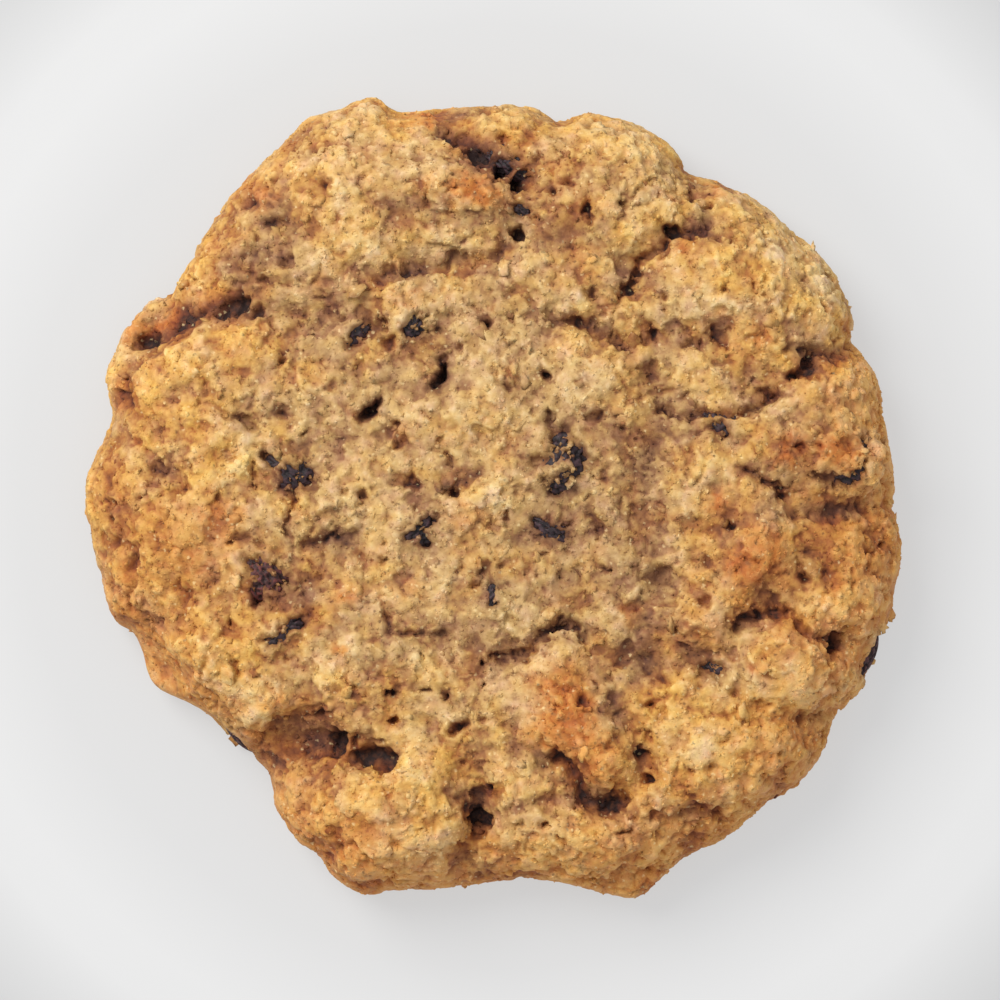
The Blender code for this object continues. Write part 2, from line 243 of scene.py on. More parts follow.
# Cracks: half width, depth and the points (x, y) along each, in mm.
CRACKS = (
    (0.6, 1, ((-37.5, 16), (-36, 16.3), (-33.5, 18), (-31.5, 19.4))),
    (0.5, 0.6, ((-30.5, 19.6), (-27.5, 20), (-24.5, 19.5), (-20, 19.3), (-17.5, 19.8), (-15.5, 18.6))),
    (0.55, 1.1, ((-12.3, 22.3), (-10.5, 23.6), (-8, 24.2), (-5, 24), (-4, 25), (0, 25), (1.2, 26.5))),
    (0.5, 1.2, ((5.8, 19.6), (7, 18.2), (9, 18.4), (12, 17.2), (15, 15.8))),
    (0.45, 1.4, ((22.6, 29.3), (22.2, 28.3), (20.5, 27.7), (18.3, 28.2))),
    (0.45, 1.5, ((18.3, 27.4), (17.6, 26), (15.6, 25.2), (14.8, 23), (13.6, 21.2))),
    (0.25, 0.6, ((13.3, 28), (14, 31), (17, 33.5))),
    (0.6, 1.2, ((31.3, 15.5), (33.5, 15.6), (36, 15), (38, 16.4))),
    (0.4, 2, ((31.3, 12.6), (32.6, 13.5), (34, 15.2))),
    (0.4, 1.3, ((17.7, 9.3), (20, 8.8), (23.5, 8.9), (26, 8.5), (28, 9.6), (30, 11))),
    (0.5, 0.4, ((31, -2), (33.5, -1.8), (36, -1.6), (40, -1.3))),
    (0.4, 1.5, ((26.6, 2.6), (28.4, 1.5), (30, 1.2), (30.8, 0))),
    (0.45, 1.4, ((26, -14.2), (26.2, -12.8), (29, -12), (31.5, -12.4), (33.5, -14.5), (36, -15.2))),
    (0.55, 1.7, ((0.4, -17), (3.4, -16.7), (4.4, -15.2), (6.6, -13.5), (8.6, -13.3), (9.6, -14.5))),
    (0.6, 1.2, ((-1, -31), (-1.4, -33.8))), (0.6, 0.7, ((-1.5, -33.8), (-2.5, -36.5), (-3.6, -39.2))),
    (0.6, 1.7, ((6.6, -27.4), (8.2, -28.8), (9.3, -30.8), (10.4, -32.2), (12, -32.8), (14, -31.8))),
    (0.45, 0.9, ((16.8, -33.6), (19, -33.9), (21.4, -33), (23.5, -33.3))),
    (0.4, 0.9, ((25.4, -20.2), (26.6, -21.6), (29, -22.1))),
    (0.4, 0.8, ((32.5, -23.4), (34.4, -23), (36, -22.2))), (0.5, 1, ((-39.3, 13), (-38.6, 9.7))),
    (0.4, 1.1, ((-28.2, 8.8), (-26.3, 8.4), (-25.4, 7.4))), (0.3, 0.9, ((-29.8, 9.8), (-28.3, 9.1))),
    (0.6, 1, ((-35.5, 2.8), (-33.4, 2.2), (-32.6, 1))),
    (0.45, 1, ((-40, -5), (-37.7, -5.4), (-38, -9.5))),
    (0.45, 1, ((-39.3, -10.5), (-37, -12.6), (-35.3, -13.4))),
    (0.65, 1.4, ((-19.6, -5), (-17, -4.4), (-14.5, -4))),
    (0.3, 1.2, ((-21, 0), (-21.5, -2), (-21.6, -3.8))), (0.3, 1.2, ((-25.3, 3.6), (-25, 1.2))),
    (0.35, 1.2, ((-27, -4.1), (-25.5, -4.5), (-24.2, -5.2))), (0.4, 1.4, ((-4.8, 4.6), (-4.2, 3.5))),
    (0.35, 0.9, ((-11.3, -11.9), (-10.6, -13.8), (-8, -14.4), (-5, -14.6))),
    (0.4, 0.6, ((-33, -14), (-31.5, -18), (-30.3, -20.6), (-27.5, -23.3), (-25.3, -25))),
    (0.35, 0.7, ((-22.6, -21.8), (-23, -24.4), (-24.8, -26.4))),
    (0.25, 1.2, ((-27.8, -16.8), (-26.6, -18.8))), (0.35, 0.8, ((28.5, -29.5), (30.5, -30.4))),
)

# Holes: middle (x, y), half length, half width, turn in degrees, depth, in mm.
HOLES = (
    (-1.4, 36.3, 1.4, 0.8, -25, 1.9), (-3.9, 38, 1.3, 0.7, -20, 1.6), (1.2, 37.8, 0.8, 0.7, 0, 1.5),
    (1.1, 34.7, 1.1, 0.6, -35, 2.5), (2.9, 33.2, 1, 0.6, 60, 2.5), (5, 36.2, 0.3, 0.4, 0, 1.2),
    (2.8, 30.3, 0.9, 0.8, -30, 1.9), (4, 29.6, 0.7, 0.4, -30, 1.6), (2.4, 27.6, 0.7, 0.8, 20, 2.6),
    (10.1, 30.2, 1.4, 0.4, 90, 2), (13.8, 31, 0.6, 0.4, 30, 1.6), (7.8, 33.4, 0.7, 0.4, -20, 1.2),
    (6.6, 32.2, 0.5, 0.5, 0, 1.1), (12.4, 39.2, 0.9, 0.4, -20, 1), (21, 31.7, 0.5, 0.4, 60, 1.2),
    (22.8, 30.8, 0.5, 0.4, 0, 1.2), (19, 28, 1.4, 0.6, -10, 2.3), (-27.6, 19.9, 1.4, 0.7, 5, 1.6),
    (-24.6, 19.5, 0.9, 0.6, 20, 1.9), (-36.2, 16.6, 1.1, 0.9, 35, 1.8), (-21.6, 24.8, 0.7, 0.6, 0, 1.5),
    (-24, 22.6, 0.5, 0.5, 30, 1.2), (-26.4, 25.5, 0.25, 0.25, 0, 1.4),
    (-22.3, 14.4, 0.3, 0.6, -20, 1.9), (-24.9, 27.3, 0.3, 0.5, 0, 1.1), (-17.7, 33, 0.5, 0.5, 0, 1.1),
    (-19.2, 32, 0.4, 0.5, 0, 1), (-23, 28.9, 1.3, 0.6, -5, 1.1), (-25.7, 31, 1, 0.7, 0, 0.9),
    (-8.6, 1.5, 1.7, 0.7, -12, 1.8), (-10, 5.4, 0.6, 0.5, 20, 1.8), (-9.3, 6, 0.7, 0.7, 30, 1.3),
    (-10.4, 7.6, 0.5, 0.3, 0, 1.4), (-5.3, 5.8, 0.5, 0.5, 0, 1.2), (-4.1, 0.6, 0.6, 0.5, 40, 1.8),
    (-13.6, 0, 0.8, 0.45, -20, 2), (-15.6, 0.5, 0.5, 0.4, 0, 1), (1.6, 11.5, 0.8, 0.4, -20, 0.9),
    (5.7, 12.7, 0.3, 0.6, 0, 1.9), (10.8, 8.4, 1, 0.6, 0, 1.3), (-0.7, 18.2, 0.6, 0.4, 20, 2),
    (-3.5, 15.8, 0.3, 0.5, 0, 1.3), (-10.7, 16.2, 0.8, 0.7, 0, 1.5), (10.3, 21.4, 0.9, 0.5, -10, 1.4),
    (-12.9, 9.1, 1, 0.55, 50, 2.2), (-5.2, 13.2, 0.5, 1.1, -10, 2), (1.5, -2.2, 0.3, 0.7, 30, 1.3),
    (11.3, -3.6, 0.4, 0.7, -30, 1.3), (10.7, 2.2, 0.3, 0.5, 0, 1.1), (23.8, 17, 0.8, 1.1, 30, 1.4),
    (17, 17.2, 0.9, 0.5, -20, 1.3), (20.8, 16.2, 1, 0.4, -10, 1.3), (24.6, 22, 0.2, 0.7, 0, 1.3),
    (18.2, 21.3, 0.6, 0.3, -20, 1.2), (27.5, 22.5, 0.3, 0.5, -20, 1.1), (16.4, 13.2, 0.8, 0.8, 0, 1.3),
    (28.8, 10.9, 1, 0.5, 0, 1.5), (32.3, 5.2, 0.5, 0.6, 0, 1.5), (28.6, 1.4, 0.7, 0.3, 10, 2),
    (25, -2.8, 0.5, 0.5, 0, 1.6), (40.1, -6, 0.3, 0.3, 0, 1.2), (22.3, -11, 0.7, 0.8, 30, 2),
    (17.5, -8.3, 1.5, 0.9, 10, 1.1), (33, -8.6, 0.7, 0.5, 0, 1.1), (36.3, -15.3, 0.7, 0.8, 0, 2.6),
    (-10.6, -20.8, 0.8, 0.4, -15, 2.3), (-10.2, -23.6, 0.7, 0.3, 10, 2.3),
    (-3.7, -24.2, 0.9, 0.5, 30, 2.2), (-7.4, -16.7, 0.2, 0.3, 40, 1.8), (-1, -17.5, 0.4, 0.2, -10, 1.8),
    (-0.7, -20, 0.2, 0.3, 0, 1.9), (-6.9, -20.5, 0.7, 0.18, -15, 1.8),
    (-4.7, -21.3, 0.25, 0.25, 0, 1.8), (-1.2, -23.5, 0.4, 0.3, 0, 0.9), (-37.3, 0.2, 0.25, 0.3, 0, 1.5),
    (-40.4, -2.6, 0.3, 0.5, 20, 1.4), (17.7, -37.3, 0.3, 0.3, 0, 1.7), (-40.5, -0.8, 0.5, 0.5, 0, 1.3),
    (-27.6, -4.9, 0.4, 0.4, 0, 1.6), (-29.3, -8.9, 0.5, 0.5, 0, 1), (-27.7, -13, 0.3, 0.5, 0, 1.7),
    (-31.4, -13.7, 0.25, 0.25, 0, 1.2), (-25, -11, 0.5, 0.7, 20, 1.4), (-38.6, -10, 0.5, 0.6, 0, 1.1),
    (-22, 8.8, 0.5, 0.6, 0, 1), (-20, 6.6, 0.25, 0.3, 40, 1.4), (-18.2, -23.1, 0.9, 0.35, 10, 1.8),
    (-18, -25.6, 2.2, 1.3, -10, 0.8), (-16.6, -25.8, 1, 0.9, 40, 2.9), (-12.6, -27.3, 1.8, 0.8, 0, 2),
    (-11.2, -27.6, 1.1, 0.9, 30, 2.2), (-14.6, -25.8, 0.5, 0.4, 0, 1.2), (-1.3, -34, 1, 0.7, 10, 2.6),
    (-1.4, -31, 0.6, 0.9, 0, 1.6), (5.3, -28, 0.9, 0.7, 0, 1), (5.7, -34.5, 0.5, 0.3, -30, 1.7),
    (7, -36, 0.5, 0.3, -30, 1.2), (14.3, -35.4, 0.7, 0.3, 10, 1.7), (16, -29.7, 0.5, 0.4, 0, 2),
    (15.8, -27, 0.5, 0.7, 20, 1.5), (16.4, -25.2, 0.4, 0.7, 0, 1.3), (23.7, -33.4, 0.7, 0.6, 10, 1.6),
    (16.4, -21.6, 0.7, 0.5, 0, 1.1), (9.5, -21.3, 0.6, 0.8, 20, 1.3), (-10.9, -12.2, 0.4, 0.3, 0, 1.5),
    (-1.7, -9.4, 0.6, 0.4, -20, 1.2), (12, -7.4, 0.5, 0.2, 10, 1.1), (-11.2, -6.5, 0.7, 0.3, 0, 1.3),
)

# Where raisin skin shows: half width of the gap, then the points (x, y) along it, in mm.
RAISIN_GAPS = (
    (1.5, ((7.1, 6.1), (7.3, 5.1))), (0.85, ((4.9, 3.9), (6.4, 4))), (0.6, ((6, 8.4), (6.3, 7.6))),
    (0.85, ((8.2, 5.4), (9.2, 4.6), (9.5, 3.4), (8.9, 2.2))), (1.25, ((7.9, 1.9), (6.5, 0.8))),
    (0.8, ((4.6, -2.6), (5.6, -3.2))), (0.5, ((5.6, -3.2), (7.4, -4.2))),
    (0.6, ((-9.2, -4.5), (-7.7, -3.3), (-6.3, -2.1))), (0.4, ((-7.3, -4), (-6.8, -5.4))),
    (1.2, ((-25.2, -7), (-23.6, -7.4), (-22.2, -8.9))), (0.7, ((-24.4, -8.8), (-24.8, -10.8))),
    (0.8, ((-23.2, -15.2), (-22.3, -14.6))), (0.7, ((-22, -14.2), (-20.4, -13.2))),
    (1, ((-21.4, 2.4), (-21.2, 1.2))), (1, ((-19.8, 2.4), (-19.2, 1.4))),
    (0.5, ((-23.8, 4.3), (-23, 3.6))), (0.95, ((-14.9, 16.4), (-13.8, 17.2), (-12, 18.2))),
    (0.6, ((-9, 17.4), (-8.3, 18.9))), (0.6, ((-7.2, 19), (-7.3, 17.6), (-8.2, 17))),
    (0.5, ((-5.2, 14.3), (-5, 13.2), (-5.8, 12))), (0.6, ((-13.4, 8.3), (-12.9, 9.2), (-12.2, 9.8))),
    (0.6, ((34.3, 2.1), (35, 1.9), (37, 1.4), (38.5, 2))), (0.4, ((38.9, 2.6), (39.4, 3.6))),
    (0.3, ((39.2, 6.2), (39.9, 5.2))), (0.7, ((23.3, 7.5), (24.8, 6.9))),
    (0.6, ((0.1, -11.2), (-0.1, -9.6))), (0.8, ((22.3, -18), (23.6, -18.2))),
    (0.4, ((-28.8, -24.6), (-27.4, -26), (-25.4, -27.2))),
    (0.6, ((40.9, -14.8), (40.5, -17), (39.6, -19))), (0.5, ((1, 34.8), (1.6, 34.3))),
    (0.45, ((2.4, 33.1), (3.2, 33.9))), (0.4, ((2.8, 29.8), (3.2, 30.3))),
)

# Toasted patches, where the crust browned most: as the holes, but with a strength.
TOASTED = (
    (8, -22.5, 3.4, 5, 30, 1), (10.5, -26.5, 2.8, 2.6, -30, 1), (12.8, -28.6, 1.2, 1.4, 0, 0.7),
    (6.4, -19.8, 1.8, 1.8, 0, 0.7), (36.3, 4.9, 2.8, 1.9, 10, 1), (31.5, 5.4, 2.2, 1.5, 0, 0.8),
    (37.8, 4, 1.4, 1.2, 0, 0.6), (26.8, -7.4, 2.6, 2.6, -20, 1), (28, -4.4, 2.6, 1.6, 30, 0.8),
    (23.6, -0.6, 1.8, 1.4, 0, 0.8), (25.8, -11.6, 1.6, 1.6, 0, 0.6), (-1.8, 32.2, 3.4, 1.8, -15, 1),
    (-6, 33, 2.4, 1.4, 0, 0.5), (-7, 39.8, 2, 0.8, 0, 1), (-29.2, -2.2, 3, 2, 0, 0.8),
    (-31.5, -7, 3.4, 1.6, -10, 0.6), (-15.2, -10.5, 1.6, 1.2, 0, 0.8), (-15.8, -16, 0.9, 0.8, 0, 1),
    (-2.8, -2, 2.4, 1.6, 0, 0.5), (-9, -9.8, 1.8, 1.2, 0, 0.4), (14.5, -12, 1.5, 1.4, 0, 0.8),
    (20.3, 26.3, 0.8, 0.7, 0, 1), (28.5, 16.8, 1.3, 1.3, 0, 0.7), (36, -9, 1.2, 0.9, 0, 0.8),
    (28, -18, 1.1, 0.9, 0, 0.7), (32.8, -19.5, 2.2, 1.6, 0, 0.5), (-34.5, 17.8, 3.6, 1.4, 30, 1),
    (-37.5, 17.5, 1.8, 1.6, 60, 0.8), (-39, 11, 1.1, 2, 0, 0.7), (-39.3, -1, 1.5, 2.6, 0, 0.5),
    (-38.6, -8.5, 1.3, 3.4, 10, 0.7), (-36.5, -12.4, 2.4, 1.2, -30, 0.6),
    (-18, -37, 2.6, 1.2, -40, 0.8), (-14.5, -38, 1.6, 1.2, 0, 0.9), (-13, -41, 2.8, 1.2, 0, 1),
    (16, -40.5, 2.6, 1.6, 30, 1), (38, -17.5, 2, 2.4, 0, 0.7), (29.5, -29, 2.4, 1.6, 30, 0.7),
    (29.5, -32, 2, 0.8, 30, 0.6), (23.8, 32.3, 1.2, 0.8, -30, 0.6), (37, 18, 0.8, 1.2, 0, 0.6),
    (36.8, 14.4, 1.6, 1.2, 0, 0.6), (-25, -25.5, 1.8, 2.2, 0, 0.7), (-27, -22, 1.8, 1.4, -30, 0.5),
    (17.5, -33.6, 1.8, 0.8, 0, 0.5), (9, 24, 2.2, 1.4, -10, 0.3), (-8.5, 21.2, 1.8, 1.2, 0, 0.4),
    (-9.5, 6.5, 1.4, 1.4, 0, 0.5), (-18, 22.5, 1.4, 1, 0, 0.4), (24, 19, 2, 0.8, 5, 0.4),
    (34.5, 18.5, 1.6, 1.6, 0, 0.4), (7, -24.5, 3.6, 3, 20, 1), (11, -28.4, 2.8, 2.2, -20, 1),
    (29, -6, 2.4, 2.4, 0, 1), (38.6, 3, 1.6, 2.4, 0, 0.9), (31, 4, 1.8, 1.4, 0, 0.9),
    (-23, -21.6, 2, 1.2, 0, 0.8), (40, 12, 2.4, 6, 20, 0.6), (0, -39.5, 9, 2, 0, 0.6),
    (28, -7, 8, 6.5, -20, 0.3), (36.5, 2, 6, 10, 0, 0.4), (9, -24, 6, 7.5, 40, 0.3),
    (-31, -5, 6.5, 4.5, -20, 0.5), (-19, -25, 4.5, 3, 0, 0.55), (-24.5, 31.5, 2.4, 2, 0, 0.8),
    (-29, 20.5, 4, 1.8, 5, 0.6), (-0.5, 36, 3.6, 2, -30, 0.7), (34, -16, 7, 5, -50, 0.5),
    (15, -39.5, 3.6, 2.6, 0, 0.8), (-13.5, -39.5, 4, 2.6, 0, 0.8), (22, -15, 3.6, 4, 0, 0.4),
)

# Grey-purple stains, where raisin juice soaked into the dough.
STAINED = (
    (0.3, 35.6, 4, 1.6, -28, 0.9), (3.2, 29.2, 1.2, 1.8, 0, 0.5), (16.6, 12.6, 1.8, 2, 10, 0.6),
    (16, 4, 1.6, 4.5, 5, 0.5), (13, -6, 4.5, 5, 40, 0.35), (-22, 4, 2.4, 1.2, 0, 0.6),
    (-20.3, 1.6, 1.8, 1.6, 0, 0.5), (5.3, -27.8, 1.2, 0.9, 0, 0.8), (-18.5, -24.6, 4.2, 2, -5, 0.8),
    (-12.5, -27.2, 2.6, 1.2, 5, 0.8), (-23, 29, 2.6, 1, -10, 0.6), (-25.7, 31.2, 1.6, 1, 0, 0.5),
    (15, -17, 4.5, 1.6, -8, 0.5), (21.5, -16.8, 3.2, 1.2, -40, 0.6), (11, 17.6, 3.8, 0.9, -15, 0.6),
    (-7, -14.3, 3.2, 0.8, -5, 0.5), (23.6, 17.3, 1.3, 1.1, 60, 0.5), (22, 29.5, 1.4, 1.6, -20, 0.6),
    (18.5, 27.8, 2, 0.9, -10, 0.6), (-8.5, 24, 3.8, 0.8, 5, 0.6), (-26, 20, 3.6, 1.4, 0, 0.7),
    (-35.5, 16.3, 1.8, 0.9, 30, 0.7), (30, -10.6, 3, 1.3, -10, 0.6), (33, -7.5, 1.8, 2.2, 0, 0.5),
    (31.6, 2, 1.6, 1, 0, 0.4), (24.5, 7.2, 2.6, 1.4, -20, 0.6), (36.5, -1.3, 3.4, 0.9, 0, 0.8),
    (16.5, -9, 3, 2, 0, 0.4), (6, -3.8, 3.6, 1.4, -15, 0.6), (2, -4.8, 2.6, 0.8, 0, 0.4),
    (7.5, 4, 3.4, 4, 0, 0.35), (-8, 18.2, 2.4, 1.8, 0, 0.5), (-14, 17.4, 2.6, 1.4, 35, 0.5),
    (0, -10.3, 1, 1.8, 0, 0.7), (-26, 7.6, 2, 1, -40, 0.6), (-23, 8.6, 1.6, 1, 0, 0.4),
    (-19, 15, 2.6, 1.2, 0, 0.4), (-17, -4.6, 3, 0.9, 8, 0.6), (8, 28.6, 2.8, 2, 0, 0.5),
    (-3, 29.6, 1.6, 0.8, 0, 0.4), (-10, 30.6, 2.4, 1.2, 0, 0.4), (33.5, 15.6, 2.6, 1, 0, 0.7),
    (-2.4, -26.6, 1.8, 1.6, 0, 0.35), (-2, -38.2, 1.8, 1.2, 0, 0.5), (-4, -31.2, 1.2, 1.4, 0, 0.4),
    (-25.5, 24, 2.4, 2.6, 30, 0.5), (-24, 30, 3, 1.6, 0, 0.5), (-11, 13.5, 1.6, 2.2, 0, 0.4),
    (10, -10, 6, 4.5, 0, 0.3), (-1.4, -32.5, 1, 2.6, 0, 0.7), (11.3, -31.5, 2.6, 1.2, -25, 0.8),
    (21.5, -33.4, 2.6, 0.9, 0, 0.5), (12.8, -22, 1.1, 4, 12, 0.8), (15.2, -27.4, 0.9, 2, 0, 0.7),
    (4, 5.5, 2.6, 1.6, 0, 0.3), (-8, 15, 2.4, 2, 0, 0.35), (19, -18, 1.6, 1.2, 0, 0.4),
    (34, -23.4, 2, 1, 0, 0.4), (36.5, -15.2, 1.2, 1, 0, 0.6), (-21, -10.3, 2.4, 1.6, 0, 0.4),
    (-21.6, -14.2, 2.4, 1.2, 35, 0.5), (-27.5, -24.6, 3, 1.3, -50, 0.6),
)

